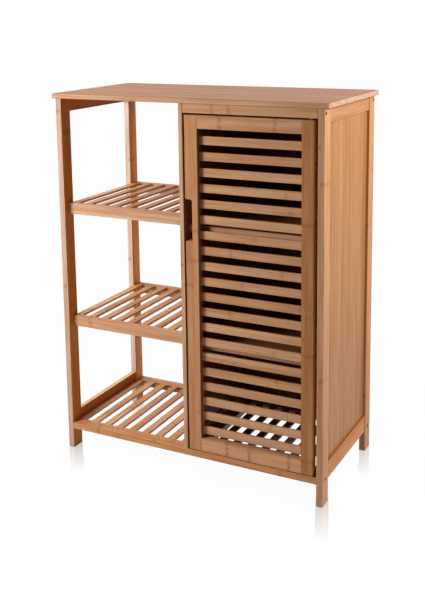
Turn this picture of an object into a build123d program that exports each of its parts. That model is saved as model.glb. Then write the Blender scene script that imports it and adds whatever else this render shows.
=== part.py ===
from build123d import *
import os

os.makedirs("parts", exist_ok=True)

# Overall size and sheet stock, in millimetres
overall_width = 700
overall_depth = 342
overall_height = 894
top_thickness = 12
top_corner_radius = 6
top_edge_radius = 3
side_overhang = 10.5
front_overhang = 4
eased_radius = 1

# Frame timber
leg_width = 15
leg_depth = 36
side_rail_thickness = 12
top_rail_height = 33
bottom_rail_height = 40
bottom_rail_low = 51
side_panel_thickness = 5
side_panel_recess = 6.5
groove_depth = 5
groove_gap = 0.1
panel_end_gap = 0.3

# Slatted bottom
floor_rail_height = 16
floor_rail_depth = 29
slat_thickness = 5
floor_slat_width = 19
floor_slat_count = 8
bearer_width = 58.2
tongue_thickness = 3
tongue_shoulder = 2
tongue_length = 8
tongue_gap = 0.1

# Upright partition between the two bays
partition_thickness = 10.4
partition_centre = -1
partition_rail_height = 24
partition_panel_thickness = 4
partition_groove_depth = 4

# Front apron, rear top rail and back panel
apron_height = 21
apron_thickness = 15
apron_end_gap = 0.8
back_panel_thickness = 4
back_groove_depth = 4

# Open shelves on the left
open_shelf_drops = (255, 539)
open_shelf_height = 26.5
open_shelf_rail_depth = 14
open_shelf_front_recess = 16.5
open_shelf_rear_recess = 3
shelf_slat_width = 18.6
shelf_slat_end_gap = 1.85
shelf_slat_count = 9

# Flat shelves inside the cupboard
inner_shelf_drops = (279, 558.5)
inner_shelf_thickness = 13
inner_shelf_front_cover = 2
inner_shelf_rear_cover = 9
inner_shelf_side_gap = 1
shelf_pin_radius = 2.5
shelf_pin_in = 7.5
shelf_pin_out = 8.5
shelf_pin_wall = 10
pin_rest_gap = 0.05

# Door
door_thickness = 20
door_slat_recess = 11
door_left_gap = 4.4
door_right_gap = 8.5
door_top_gap = 4
door_bottom_gap = 2
door_left_stile_width = 32
door_right_stile_width = 27.6
door_top_rail_height = 30
door_bottom_rail_height = 31.5
door_slat_height = 19.5
door_slat_count = 20
door_first_gap = 17.3
door_last_gap = 7.6
door_rebate_width = 10
door_tenon_thickness = 6
door_tenon_length = 12
door_tenon_shoulder = 6
tenon_gap = 0.1

# Finger cut-out in the door's left stile
cutout_depth = 16.8
cutout_drop = 190.6
cutout_height = 95.8
cutout_outer_radius = 4
cutout_top_radius = 5.5
cutout_bottom_radius = 2.5

# Pivot hinge
hinge_inset = 8
hinge_pin_radius = 2.5
hinge_pin_seat = 20
hinge_pin_engagement = 6.5
hinge_bush_radius = 4
hinge_bush_length = 7
hinge_flange_radius = 6
hinge_flange_thickness = 1.2
hinge_washer_thickness = 1.6
running_gap = 0.05

# Countersunk screws
screw_radius = 2
screw_length = 35
screw_head_radius = 4
screw_head_recess = 0.5
screw_gap = 0.1
socket_radius = 2.1
socket_depth = 1.4
post_screw_length = 30
apron_screw_height = 10.5
floor_screw_height = 8
floor_screw_inset = 18

# Wooden dowels
dowel_radius = 3
dowel_centre_wall = 6
dowel_screw_wall = 2
dowel_gap = 0.05
dowel_end_gap = 0.5
top_dowel_length = 20
top_dowel_seat = 8
top_dowel_inset = 60
side_dowel_low = 11
side_dowel_high = 29
top_rail_dowel_low = 11
top_rail_dowel_high = 25
dowel_chamfer = 0.5

# Magnetic catch behind the door
catch_width = 13
catch_depth = 13
catch_height = 34
catch_drop = 75
catch_gap = 0.4
keeper_thickness = 1
keeper_width = 14
keeper_height = 30
keeper_edge_gap = 1
keeper_stud_radius = 1.5
keeper_stud_length = 8
small_screw_radius = 1.25
small_screw_head_radius = 2.4
small_screw_grip = 3
small_screw_bite = 6.5
small_screw_head_height = 1.2
small_screw_spacing = 22

# Positions worked out from the sizes above
frame_half_width = overall_width / 2 - side_overhang
frame_half_depth = overall_depth / 2 - front_overhang
frame_height = overall_height - top_thickness
inner_x = frame_half_width - leg_width
inner_y = frame_half_depth - leg_depth
leg_x = frame_half_width - leg_width / 2
leg_y = frame_half_depth - leg_depth / 2
side_rail_length = 2 * inner_y
top_rail_low = frame_height - top_rail_height
bottom_rail_high = bottom_rail_low + bottom_rail_height
floor_top = bottom_rail_low + floor_rail_height
floor_length = 2 * inner_x
floor_rail_y = frame_half_depth - floor_rail_depth / 2
floor_inner_y = frame_half_depth - floor_rail_depth
partition_left = partition_centre - partition_thickness / 2
partition_right = partition_centre + partition_thickness / 2
panel_x = frame_half_width - side_panel_recess - side_panel_thickness / 2
panel_low = bottom_rail_high - groove_depth
panel_high = top_rail_low + groove_depth
apron_low = frame_height - apron_height
apron_y = frame_half_depth - apron_thickness / 2
floor_screw_y = frame_half_depth - floor_screw_inset
open_shelf_tops = [frame_height - drop for drop in open_shelf_drops]
inner_shelf_tops = [frame_height - drop for drop in inner_shelf_drops]
apron_left = partition_right + apron_end_gap
apron_right = inner_x - apron_end_gap
back_y = frame_half_depth - back_panel_thickness / 2
back_low = floor_top - back_groove_depth
back_high = apron_low + back_groove_depth
tongue_z_drop = tongue_shoulder + tongue_thickness / 2
groove_height = tongue_thickness + 2 * tongue_gap
tongue_drop = tongue_z_drop + tongue_thickness / 2
groove_drop = tongue_z_drop + groove_height / 2
groove_reach = tongue_length + panel_end_gap
hole_radius = screw_radius + running_gap
sink_radius = screw_head_radius + screw_head_recess + screw_gap
dowel_hole_radius = dowel_radius + dowel_gap
dowel_seat = leg_depth / 2 - dowel_centre_wall
dowel_length = 2 * dowel_seat
rear_screw_bite = leg_depth - apron_thickness - dowel_seat - dowel_screw_wall
rear_screw_length = apron_thickness + rear_screw_bite
dowel_hole_depth = dowel_seat + dowel_end_gap
apron_screw_z = frame_height - apron_screw_height
floor_screw_z = bottom_rail_low + floor_screw_height
screw_bore = 2 * screw_length

# Screw places on the legs: rail ends, then open shelf ends
shelf_front_y = -frame_half_depth + open_shelf_front_recess + open_shelf_rail_depth / 2
shelf_rear_y = frame_half_depth - open_shelf_rear_recess - open_shelf_rail_depth / 2
shelf_screw_heights = [top - open_shelf_height / 2 for top in open_shelf_tops]
right_front_screws = [
    (frame_half_width, -apron_y, apron_screw_z),
    (frame_half_width, -floor_screw_y, floor_screw_z),
]
right_rear_screws = [
    (frame_half_width, apron_y, apron_screw_z),
    (frame_half_width, floor_screw_y, floor_screw_z),
]
left_front_screws = [(-frame_half_width, -floor_screw_y, floor_screw_z)]
left_front_screws += [(-frame_half_width, shelf_front_y, height) for height in shelf_screw_heights]
left_rear_screws = [
    (-frame_half_width, apron_y, apron_screw_z),
    (-frame_half_width, floor_screw_y, floor_screw_z),
]
left_rear_screws += [(-frame_half_width, shelf_rear_y, height) for height in shelf_screw_heights]
front_post_screws = [(partition_right, shelf_front_y, height) for height in shelf_screw_heights]
rear_post_screws = [(partition_right, shelf_rear_y, height) for height in shelf_screw_heights]
facing_right = [Plane(origin=spot, z_dir=(1, 0, 0)) for spot in right_front_screws + right_rear_screws]
facing_left = [Plane(origin=spot, z_dir=(-1, 0, 0)) for spot in left_front_screws + left_rear_screws]
facing_shelf = [Plane(origin=spot, z_dir=(1, 0, 0)) for spot in front_post_screws + rear_post_screws]

# Dowel places at the rail ends
side_dowel_heights = [
    bottom_rail_low + side_dowel_low,
    bottom_rail_low + side_dowel_high,
    top_rail_low + top_rail_dowel_low,
    top_rail_low + top_rail_dowel_high,
]
partition_low_dowel = floor_top + partition_rail_height / 2
partition_high_dowel = frame_height - partition_rail_height / 2
top_dowel_y = inner_y - dowel_length
top_dowel_x = inner_x - top_dowel_inset

# Left front leg, eased, bored for dowels and screws
with BuildPart() as left_front_leg:
    with BuildSketch() as left_front_section:
        with Locations((-leg_x, -leg_y)):
            Rectangle(leg_width, leg_depth)
    extrude(amount=frame_height)
    fillet(left_front_leg.edges().filter_by(Axis.Z), radius=eased_radius)
    with Locations(*[Plane(origin=(-leg_x, -inner_y, z), z_dir=(0, 1, 0)) for z in side_dowel_heights]):
        Hole(radius=dowel_hole_radius, depth=dowel_hole_depth)
    with Locations(*[Plane(origin=spot, z_dir=(-1, 0, 0)) for spot in left_front_screws]):
        CounterSinkHole(hole_radius, sink_radius, depth=screw_bore, counter_sink_angle=90)
left_front_leg.part.label = "left_front_leg"

# Left rear leg
with BuildPart() as left_rear_leg:
    with BuildSketch() as left_rear_section:
        with Locations((-leg_x, leg_y)):
            Rectangle(leg_width, leg_depth)
    extrude(amount=frame_height)
    fillet(left_rear_leg.edges().filter_by(Axis.Z), radius=eased_radius)
    with Locations(*[Plane(origin=(-leg_x, inner_y, z), z_dir=(0, -1, 0)) for z in side_dowel_heights]):
        Hole(radius=dowel_hole_radius, depth=dowel_hole_depth)
    with Locations(*[Plane(origin=spot, z_dir=(-1, 0, 0)) for spot in left_rear_screws]):
        CounterSinkHole(hole_radius, sink_radius, depth=screw_bore, counter_sink_angle=90)
left_rear_leg.part.label = "left_rear_leg"

# Shelf pin places in the cupboard
shelf_pin_drop = inner_shelf_thickness + shelf_pin_radius + pin_rest_gap
shelf_pin_heights = [top - shelf_pin_drop for top in inner_shelf_tops]
pin_y = inner_y + shelf_pin_wall
pin_hole_radius = shelf_pin_radius + running_gap
pin_hole_depth = shelf_pin_in + running_gap

# Right front leg, with the panel groove on its inner edge
with BuildPart() as right_front_leg:
    with BuildSketch() as right_front_section:
        with Locations((leg_x, -leg_y)):
            Rectangle(leg_width, leg_depth)
    extrude(amount=frame_height)
    fillet(right_front_leg.edges().filter_by(Axis.Z), radius=eased_radius)
    with BuildSketch(Plane.XY.offset(panel_low)) as right_front_groove:
        with Locations((panel_x, -inner_y)):
            Rectangle(side_panel_thickness + 2 * groove_gap, 2 * groove_depth)
    extrude(amount=panel_high - panel_low, mode=Mode.SUBTRACT)
    with Locations(*[Plane(origin=(leg_x, -inner_y, z), z_dir=(0, 1, 0)) for z in side_dowel_heights]):
        Hole(radius=dowel_hole_radius, depth=dowel_hole_depth)
    with Locations(*[Plane(origin=spot, z_dir=(1, 0, 0)) for spot in right_front_screws]):
        CounterSinkHole(hole_radius, sink_radius, depth=screw_bore, counter_sink_angle=90)
    with Locations(*[Plane(origin=(inner_x, -pin_y, z), z_dir=(-1, 0, 0)) for z in shelf_pin_heights]):
        Hole(radius=pin_hole_radius, depth=pin_hole_depth)
right_front_leg.part.label = "right_front_leg"

# Right rear leg, with grooves for the side panel and the back panel
with BuildPart() as right_rear_leg:
    with BuildSketch() as right_rear_section:
        with Locations((leg_x, leg_y)):
            Rectangle(leg_width, leg_depth)
    extrude(amount=frame_height)
    fillet(right_rear_leg.edges().filter_by(Axis.Z), radius=eased_radius)
    with BuildSketch(Plane.XY.offset(panel_low)) as right_rear_groove:
        with Locations((panel_x, inner_y)):
            Rectangle(side_panel_thickness + 2 * groove_gap, 2 * groove_depth)
    extrude(amount=panel_high - panel_low, mode=Mode.SUBTRACT)
    with BuildSketch(Plane.XY.offset(back_low)) as back_groove:
        with Locations((inner_x, back_y)):
            Rectangle(2 * back_groove_depth, back_panel_thickness + 2 * groove_gap)
    extrude(amount=back_high - back_low, mode=Mode.SUBTRACT)
    with Locations(*[Plane(origin=(leg_x, inner_y, z), z_dir=(0, -1, 0)) for z in side_dowel_heights]):
        Hole(radius=dowel_hole_radius, depth=dowel_hole_depth)
    with Locations(*[Plane(origin=spot, z_dir=(1, 0, 0)) for spot in right_rear_screws]):
        CounterSinkHole(hole_radius, sink_radius, depth=screw_bore, counter_sink_angle=90)
    with Locations(*[Plane(origin=(inner_x, pin_y, z), z_dir=(-1, 0, 0)) for z in shelf_pin_heights]):
        Hole(radius=pin_hole_radius, depth=pin_hole_depth)
right_rear_leg.part.label = "right_rear_leg"

# Side rails, dowelled between the legs
rail_ends = [
    Plane(origin=(0, -inner_y, 0), z_dir=(0, -1, 0)),
    Plane(origin=(0, inner_y, 0), z_dir=(0, 1, 0)),
]
top_dowel_hole_depth = top_dowel_length - top_dowel_seat + dowel_end_gap

with BuildPart() as left_top_rail:
    with BuildSketch(Plane.XY.offset(top_rail_low)) as left_top_section:
        with Locations((-leg_x, 0)):
            Rectangle(side_rail_thickness, side_rail_length)
    extrude(amount=top_rail_height)
    fillet(left_top_rail.edges().filter_by(Axis.Y).group_by(Axis.Z)[0], radius=eased_radius)
    for height in side_dowel_heights[2:]:
        with Locations(*[Plane(origin=(-leg_x, end.origin.Y, height), z_dir=end.z_dir)
                         for end in rail_ends]):
            Hole(radius=dowel_hole_radius, depth=dowel_hole_depth)
    with Locations(*[Plane(origin=(-leg_x, y, frame_height)) for y in (-top_dowel_y, top_dowel_y)]):
        Hole(radius=dowel_hole_radius, depth=top_dowel_hole_depth)
left_top_rail.part.label = "left_top_rail"

with BuildPart() as left_bottom_rail:
    with BuildSketch(Plane.XY.offset(bottom_rail_low)) as left_bottom_section:
        with Locations((-leg_x, 0)):
            Rectangle(side_rail_thickness, side_rail_length)
    extrude(amount=bottom_rail_height)
    fillet(left_bottom_rail.edges().filter_by(Axis.Y), radius=eased_radius)
    for height in side_dowel_heights[:2]:
        with Locations(*[Plane(origin=(-leg_x, end.origin.Y, height), z_dir=end.z_dir)
                         for end in rail_ends]):
            Hole(radius=dowel_hole_radius, depth=dowel_hole_depth)
left_bottom_rail.part.label = "left_bottom_rail"

with BuildPart() as right_top_rail:
    with BuildSketch(Plane.XY.offset(top_rail_low)) as right_top_section:
        with Locations((leg_x, 0)):
            Rectangle(side_rail_thickness, side_rail_length)
    extrude(amount=top_rail_height)
    fillet(right_top_rail.edges().filter_by(Axis.Y).group_by(Axis.Z)[0], radius=eased_radius)
    with BuildSketch(Plane.XY.offset(top_rail_low)) as right_top_groove:
        with Locations((panel_x, 0)):
            Rectangle(side_panel_thickness + 2 * groove_gap, side_rail_length)
    extrude(amount=groove_depth, mode=Mode.SUBTRACT)
    for height in side_dowel_heights[2:]:
        with Locations(*[Plane(origin=(leg_x, end.origin.Y, height), z_dir=end.z_dir)
                         for end in rail_ends]):
            Hole(radius=dowel_hole_radius, depth=dowel_hole_depth)
    with Locations(*[Plane(origin=(leg_x, y, frame_height)) for y in (-top_dowel_y, top_dowel_y)]):
        Hole(radius=dowel_hole_radius, depth=top_dowel_hole_depth)
right_top_rail.part.label = "right_top_rail"

with BuildPart() as right_bottom_rail:
    with BuildSketch(Plane.XY.offset(bottom_rail_low)) as right_bottom_section:
        with Locations((leg_x, 0)):
            Rectangle(side_rail_thickness, side_rail_length)
    extrude(amount=bottom_rail_height)
    fillet(right_bottom_rail.edges().filter_by(Axis.Y), radius=eased_radius)
    with BuildSketch(Plane.XY.offset(panel_low)) as right_bottom_groove:
        with Locations((panel_x, 0)):
            Rectangle(side_panel_thickness + 2 * groove_gap, side_rail_length)
    extrude(amount=groove_depth, mode=Mode.SUBTRACT)
    for height in side_dowel_heights[:2]:
        with Locations(*[Plane(origin=(leg_x, end.origin.Y, height), z_dir=end.z_dir)
                         for end in rail_ends]):
            Hole(radius=dowel_hole_radius, depth=dowel_hole_depth)
right_bottom_rail.part.label = "right_bottom_rail"

# Right side panel, loose in its grooves
with BuildPart() as right_side_panel:
    with BuildSketch(Plane.XY.offset(panel_low + panel_end_gap)) as side_panel_section:
        with Locations((panel_x, 0)):
            Rectangle(side_panel_thickness, side_rail_length + 2 * (groove_depth - panel_end_gap))
    extrude(amount=panel_high - panel_low - 2 * panel_end_gap)
right_side_panel.part.label = "right_side_panel"

# Door edges, hinge axis and bush holes
door_low = floor_top + door_bottom_gap
door_high = apron_low - door_top_gap
catch_low = door_high - catch_drop
door_right = inner_x - door_right_gap
hinge_x = door_right - hinge_inset
hinge_y = -frame_half_depth + hinge_inset
bush_hole_radius = hinge_bush_radius + running_gap

# Front and rear rails of the slatted bottom, grooved for the slats
floor_groove_z = floor_top - tongue_z_drop - groove_height / 2
post_screw_spot = (partition_centre, -floor_screw_y, bottom_rail_low)
rear_post_screw_spot = (partition_centre, floor_screw_y, bottom_rail_low)

with BuildPart() as bottom_front_rail:
    with BuildSketch(Plane.XY.offset(bottom_rail_low)) as floor_front_section:
        with Locations((0, -floor_rail_y)):
            Rectangle(floor_length, floor_rail_depth)
    extrude(amount=floor_rail_height)
    fillet(bottom_front_rail.edges().filter_by(Axis.X).group_by(Axis.Y)[0], radius=eased_radius)
    with BuildSketch(Plane.XY.offset(floor_groove_z)) as floor_front_groove:
        with Locations((0, -floor_inner_y)):
            Rectangle(floor_length, 2 * groove_reach)
    extrude(amount=groove_height, mode=Mode.SUBTRACT)
    with Locations(*[Plane(origin=(x, -floor_screw_y, floor_screw_z), z_dir=(x, 0, 0))
                     for x in (-inner_x, inner_x)]):
        Hole(radius=hole_radius, depth=screw_length - leg_width)
    with Locations(Plane(origin=post_screw_spot, z_dir=(0, 0, -1))):
        CounterSinkHole(hole_radius, sink_radius, depth=screw_bore, counter_sink_angle=90)
    with Locations(Plane(origin=(hinge_x, hinge_y, floor_top))):
        Hole(radius=bush_hole_radius, depth=hinge_bush_length + running_gap)
bottom_front_rail.part.label = "bottom_front_rail"

with BuildPart() as bottom_rear_rail:
    with BuildSketch(Plane.XY.offset(bottom_rail_low)) as floor_rear_section:
        with Locations((0, floor_rail_y)):
            Rectangle(floor_length, floor_rail_depth)
    extrude(amount=floor_rail_height)
    fillet(bottom_rear_rail.edges().filter_by(Axis.X).group_by(Axis.Y)[-1], radius=eased_radius)
    with BuildSketch(Plane.XY.offset(floor_groove_z)) as floor_rear_groove:
        with Locations((0, floor_inner_y)):
            Rectangle(floor_length, 2 * groove_reach)
    extrude(amount=groove_height, mode=Mode.SUBTRACT)
    with BuildSketch(Plane.XY.offset(back_low)) as floor_back_groove:
        with Locations(((partition_centre + inner_x) / 2, back_y)):
            Rectangle(inner_x - partition_centre, back_panel_thickness + 2 * groove_gap)
    extrude(amount=back_groove_depth, mode=Mode.SUBTRACT)
    with Locations(*[Plane(origin=(x, floor_screw_y, floor_screw_z), z_dir=(x, 0, 0))
                     for x in (-inner_x, inner_x)]):
        Hole(radius=hole_radius, depth=screw_length - leg_width)
    with Locations(Plane(origin=rear_post_screw_spot, z_dir=(0, 0, -1))):
        CounterSinkHole(hole_radius, sink_radius, depth=screw_bore, counter_sink_angle=90)
bottom_rear_rail.part.label = "bottom_rear_rail"

# Bottom slats in two fields, one each side of the middle bearer
floor_span = 2 * floor_inner_y
bearer_left = partition_centre - bearer_width / 2
floor_slat_pitch = (bearer_left + inner_x) / floor_slat_count
first_slat_x = -inner_x + floor_slat_width / 2
left_slat_xs = [first_slat_x + step * floor_slat_pitch for step in range(floor_slat_count)]
right_slat_xs = [2 * partition_centre - x for x in left_slat_xs]
floor_slat_spots = [(x, 0) for x in left_slat_xs + right_slat_xs]

with BuildPart() as bottom_slats:
    with BuildSketch(Plane.XY.offset(floor_top - slat_thickness)) as floor_slat_section:
        with Locations(*floor_slat_spots):
            Rectangle(floor_slat_width, floor_span)
    extrude(amount=slat_thickness)
    with BuildSketch(Plane.XY.offset(floor_top - tongue_drop)) as floor_tongue_section:
        with Locations(*floor_slat_spots):
            Rectangle(floor_slat_width, floor_span + 2 * tongue_length)
    extrude(amount=tongue_thickness)
bottom_slats.part.label = "bottom_slats"

# Middle bearer under the partition
with BuildPart() as bottom_middle_bearer:
    with BuildSketch(Plane.XY.offset(bottom_rail_low)) as bearer_section:
        with Locations((partition_centre, 0)):
            Rectangle(bearer_width, floor_span)
    extrude(amount=floor_rail_height)
    with BuildSketch(Plane.XY.offset(floor_top - tongue_drop)) as bearer_tongue:
        with Locations((partition_centre, 0)):
            Rectangle(bearer_width, floor_span + 2 * tongue_length)
    extrude(amount=tongue_thickness)
bottom_middle_bearer.part.label = "bottom_middle_bearer"

# Partition posts, rails and panel
post_height = frame_height - floor_top
rear_post_height = apron_low - floor_top
partition_panel_low = floor_top + partition_rail_height - partition_groove_depth
partition_panel_high = frame_height - partition_rail_height + partition_groove_depth

with BuildPart() as partition_front_post:
    with BuildSketch(Plane.XY.offset(floor_top)) as front_post_section:
        with Locations((partition_centre, -leg_y)):
            Rectangle(partition_thickness, leg_depth)
    extrude(amount=post_height)
    fillet(partition_front_post.edges().filter_by(Axis.Z).group_by(Axis.Y)[0], radius=eased_radius)
    with BuildSketch(Plane.XY.offset(partition_panel_low)) as front_post_groove:
        with Locations((partition_centre, -inner_y)):
            Rectangle(partition_panel_thickness + 2 * groove_gap, 2 * partition_groove_depth)
    extrude(amount=partition_panel_high - partition_panel_low, mode=Mode.SUBTRACT)
    with Locations(*[Plane(origin=(partition_centre, -inner_y, z), z_dir=(0, 1, 0))
                     for z in (partition_low_dowel, partition_high_dowel)]):
        Hole(radius=dowel_hole_radius, depth=dowel_hole_depth)
    with Locations(*[Plane(origin=spot, z_dir=(1, 0, 0)) for spot in front_post_screws]):
        CounterSinkHole(hole_radius, sink_radius, depth=screw_bore, counter_sink_angle=90)
    with Locations(Plane(origin=(partition_left, -apron_y, apron_screw_z), z_dir=(-1, 0, 0))):
        CounterSinkHole(hole_radius, sink_radius, depth=screw_bore, counter_sink_angle=90)
    with Locations(Plane(origin=(partition_centre, -floor_screw_y, floor_top), z_dir=(0, 0, -1))):
        Hole(radius=hole_radius, depth=post_screw_length - floor_rail_height)
    with Locations(*[Plane(origin=(partition_right, -pin_y, z), z_dir=(1, 0, 0))
                     for z in shelf_pin_heights]):
        Hole(radius=pin_hole_radius, depth=pin_hole_depth)
    with Locations(*[Plane(origin=(partition_right, -frame_half_depth + door_thickness + catch_gap
                                   + keeper_thickness + catch_depth / 2,
                                   catch_low + catch_height / 2 + drop), z_dir=(1, 0, 0))
                     for drop in (-small_screw_spacing / 2, small_screw_spacing / 2)]):
        Hole(radius=small_screw_radius + running_gap, depth=small_screw_bite + dowel_end_gap)
partition_front_post.part.label = "partition_front_post"

with BuildPart() as partition_rear_post:
    with BuildSketch(Plane.XY.offset(floor_top)) as rear_post_section:
        with Locations((partition_centre, leg_y)):
            Rectangle(partition_thickness, leg_depth)
    extrude(amount=post_height)
    fillet(partition_rear_post.edges().filter_by(Axis.Z).group_by(Axis.Y)[-1], radius=eased_radius)
    with BuildSketch(Plane.XY.offset(partition_panel_low)) as rear_post_groove:
        with Locations((partition_centre, inner_y)):
            Rectangle(partition_panel_thickness + 2 * groove_gap, 2 * partition_groove_depth)
    extrude(amount=partition_panel_high - partition_panel_low, mode=Mode.SUBTRACT)
    with BuildSketch(Plane.XY.offset(floor_top)) as rear_post_back_groove:
        with Locations((partition_right, back_y)):
            Rectangle(2 * back_groove_depth, back_panel_thickness + 2 * groove_gap)
    extrude(amount=rear_post_height, mode=Mode.SUBTRACT)
    with BuildSketch(Plane.XY.offset(apron_low)) as rear_post_notch:
        with Locations((partition_centre, apron_y)):
            Rectangle(partition_thickness, apron_thickness)
    extrude(amount=apron_height, mode=Mode.SUBTRACT)
    with Locations(*[Plane(origin=(partition_centre, inner_y, z), z_dir=(0, -1, 0))
                     for z in (partition_low_dowel, partition_high_dowel)]):
        Hole(radius=dowel_hole_radius, depth=dowel_hole_depth)
    with Locations(Plane(origin=(partition_centre, frame_half_depth - apron_thickness, apron_screw_z),
                         z_dir=(0, 1, 0))):
        Hole(radius=hole_radius, depth=rear_screw_bite)
    with Locations(*[Plane(origin=spot, z_dir=(1, 0, 0)) for spot in rear_post_screws]):
        CounterSinkHole(hole_radius, sink_radius, depth=screw_bore, counter_sink_angle=90)
    with Locations(Plane(origin=(partition_centre, floor_screw_y, floor_top), z_dir=(0, 0, -1))):
        Hole(radius=hole_radius, depth=post_screw_length - floor_rail_height)
    with Locations(*[Plane(origin=(partition_right, pin_y, z), z_dir=(1, 0, 0))
                     for z in shelf_pin_heights]):
        Hole(radius=pin_hole_radius, depth=pin_hole_depth)
partition_rear_post.part.label = "partition_rear_post"

# Rails and panel between the partition posts
with BuildPart() as partition_bottom_rail:
    with BuildSketch(Plane.XY.offset(floor_top)) as partition_low_section:
        with Locations((partition_centre, 0)):
            Rectangle(partition_thickness, side_rail_length)
    extrude(amount=partition_rail_height)
    with BuildSketch(Plane.XY.offset(partition_panel_low)) as partition_low_groove:
        with Locations((partition_centre, 0)):
            Rectangle(partition_panel_thickness + 2 * groove_gap, side_rail_length)
    extrude(amount=partition_groove_depth, mode=Mode.SUBTRACT)
    with Locations(*[Plane(origin=(partition_centre, end.origin.Y, partition_low_dowel), z_dir=end.z_dir)
                     for end in rail_ends]):
        Hole(radius=dowel_hole_radius, depth=dowel_hole_depth)
partition_bottom_rail.part.label = "partition_bottom_rail"

with BuildPart() as partition_top_rail:
    with BuildSketch(Plane.XY.offset(frame_height - partition_rail_height)) as partition_high_section:
        with Locations((partition_centre, 0)):
            Rectangle(partition_thickness, side_rail_length)
    extrude(amount=partition_rail_height)
    with BuildSketch(Plane.XY.offset(frame_height - partition_rail_height)) as partition_high_groove:
        with Locations((partition_centre, 0)):
            Rectangle(partition_panel_thickness + 2 * groove_gap, side_rail_length)
    extrude(amount=partition_groove_depth, mode=Mode.SUBTRACT)
    with Locations(*[Plane(origin=(partition_centre, end.origin.Y, partition_high_dowel), z_dir=end.z_dir)
                     for end in rail_ends]):
        Hole(radius=dowel_hole_radius, depth=dowel_hole_depth)
    with Locations(Plane(origin=(partition_centre, 0, frame_height))):
        Hole(radius=dowel_hole_radius, depth=top_dowel_hole_depth)
partition_top_rail.part.label = "partition_top_rail"

with BuildPart() as partition_panel:
    with BuildSketch(Plane.XY.offset(partition_panel_low + panel_end_gap)) as partition_panel_section:
        with Locations((partition_centre, 0)):
            Rectangle(partition_panel_thickness,
                      side_rail_length + 2 * (partition_groove_depth - panel_end_gap))
    extrude(amount=partition_panel_high - partition_panel_low - 2 * panel_end_gap)
partition_panel.part.label = "partition_panel"

# Front apron over the door, with the upper hinge bush hole
with BuildPart() as front_apron:
    with BuildSketch(Plane.XY.offset(apron_low)) as apron_section:
        with Locations(((apron_left + apron_right) / 2, -apron_y)):
            Rectangle(apron_right - apron_left, apron_thickness)
    extrude(amount=apron_height)
    fillet(front_apron.edges().filter_by(Axis.X).group_by(Axis.Z)[0], radius=eased_radius)
    with Locations(Plane(origin=(apron_left, -apron_y, apron_screw_z), z_dir=(-1, 0, 0)),
                   Plane(origin=(apron_right, -apron_y, apron_screw_z), z_dir=(1, 0, 0))):
        Hole(radius=hole_radius, depth=screw_length)
    with Locations(*[Plane(origin=(x, -apron_y, frame_height))
                     for x in (partition_right + top_dowel_inset, top_dowel_x)]):
        Hole(radius=dowel_hole_radius, depth=top_dowel_hole_depth)
    with Locations(Plane(origin=(hinge_x, hinge_y, apron_low), z_dir=(0, 0, -1))):
        Hole(radius=bush_hole_radius, depth=hinge_bush_length + running_gap)
front_apron.part.label = "front_apron"

# Rear top rail, rebated for the back panel
with BuildPart() as rear_top_rail:
    with BuildSketch(Plane.XY.offset(apron_low)) as rear_rail_section:
        with Locations((0, apron_y)):
            Rectangle(floor_length, apron_thickness)
    extrude(amount=apron_height)
    with BuildSketch(Plane.XY.offset(apron_low)) as rear_rail_rebate:
        with Locations(((partition_centre + inner_x) / 2, back_y)):
            Rectangle(inner_x - partition_centre, back_panel_thickness + 2 * groove_gap)
    extrude(amount=back_groove_depth, mode=Mode.SUBTRACT)
    with Locations(*[Plane(origin=(x, apron_y, apron_screw_z), z_dir=(x, 0, 0))
                     for x in (-inner_x, inner_x)]):
        Hole(radius=hole_radius, depth=screw_length - leg_width)
    with Locations(Plane(origin=(partition_centre, frame_half_depth, apron_screw_z), z_dir=(0, 1, 0))):
        CounterSinkHole(hole_radius, sink_radius, depth=screw_bore, counter_sink_angle=90)
    with Locations(*[Plane(origin=(x, apron_y, frame_height)) for x in (-top_dowel_x, top_dowel_x)]):
        Hole(radius=dowel_hole_radius, depth=top_dowel_hole_depth)
rear_top_rail.part.label = "rear_top_rail"

# Back panel of the cupboard bay
with BuildPart() as back_panel:
    with BuildSketch(Plane.XY.offset(back_low + panel_end_gap)) as back_section:
        with Locations(((partition_right + inner_x) / 2, back_y)):
            Rectangle(inner_x - partition_right + 2 * (back_groove_depth - panel_end_gap),
                      back_panel_thickness)
    extrude(amount=back_high - back_low - 2 * panel_end_gap)
back_panel.part.label = "back_panel"

# Open shelves: a front rail, a rear rail and nine slats each
shelf_length = partition_left + inner_x
shelf_x = (partition_left - inner_x) / 2
shelf_inner_front = shelf_front_y + open_shelf_rail_depth / 2
shelf_inner_rear = shelf_rear_y - open_shelf_rail_depth / 2
shelf_span = shelf_inner_rear - shelf_inner_front
shelf_mid_y = (shelf_inner_front + shelf_inner_rear) / 2
shelf_end_planes = [(-inner_x, (-1, 0, 0)), (partition_left, (1, 0, 0))]
shelf_screw_bore = screw_length - partition_thickness
shelf_slat_run = shelf_length - 2 * shelf_slat_end_gap - shelf_slat_width
shelf_slat_pitch = shelf_slat_run / (shelf_slat_count - 1)
slat_spots = [
    (shelf_x + (step - (shelf_slat_count - 1) / 2) * shelf_slat_pitch, shelf_mid_y)
    for step in range(shelf_slat_count)
]

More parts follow.
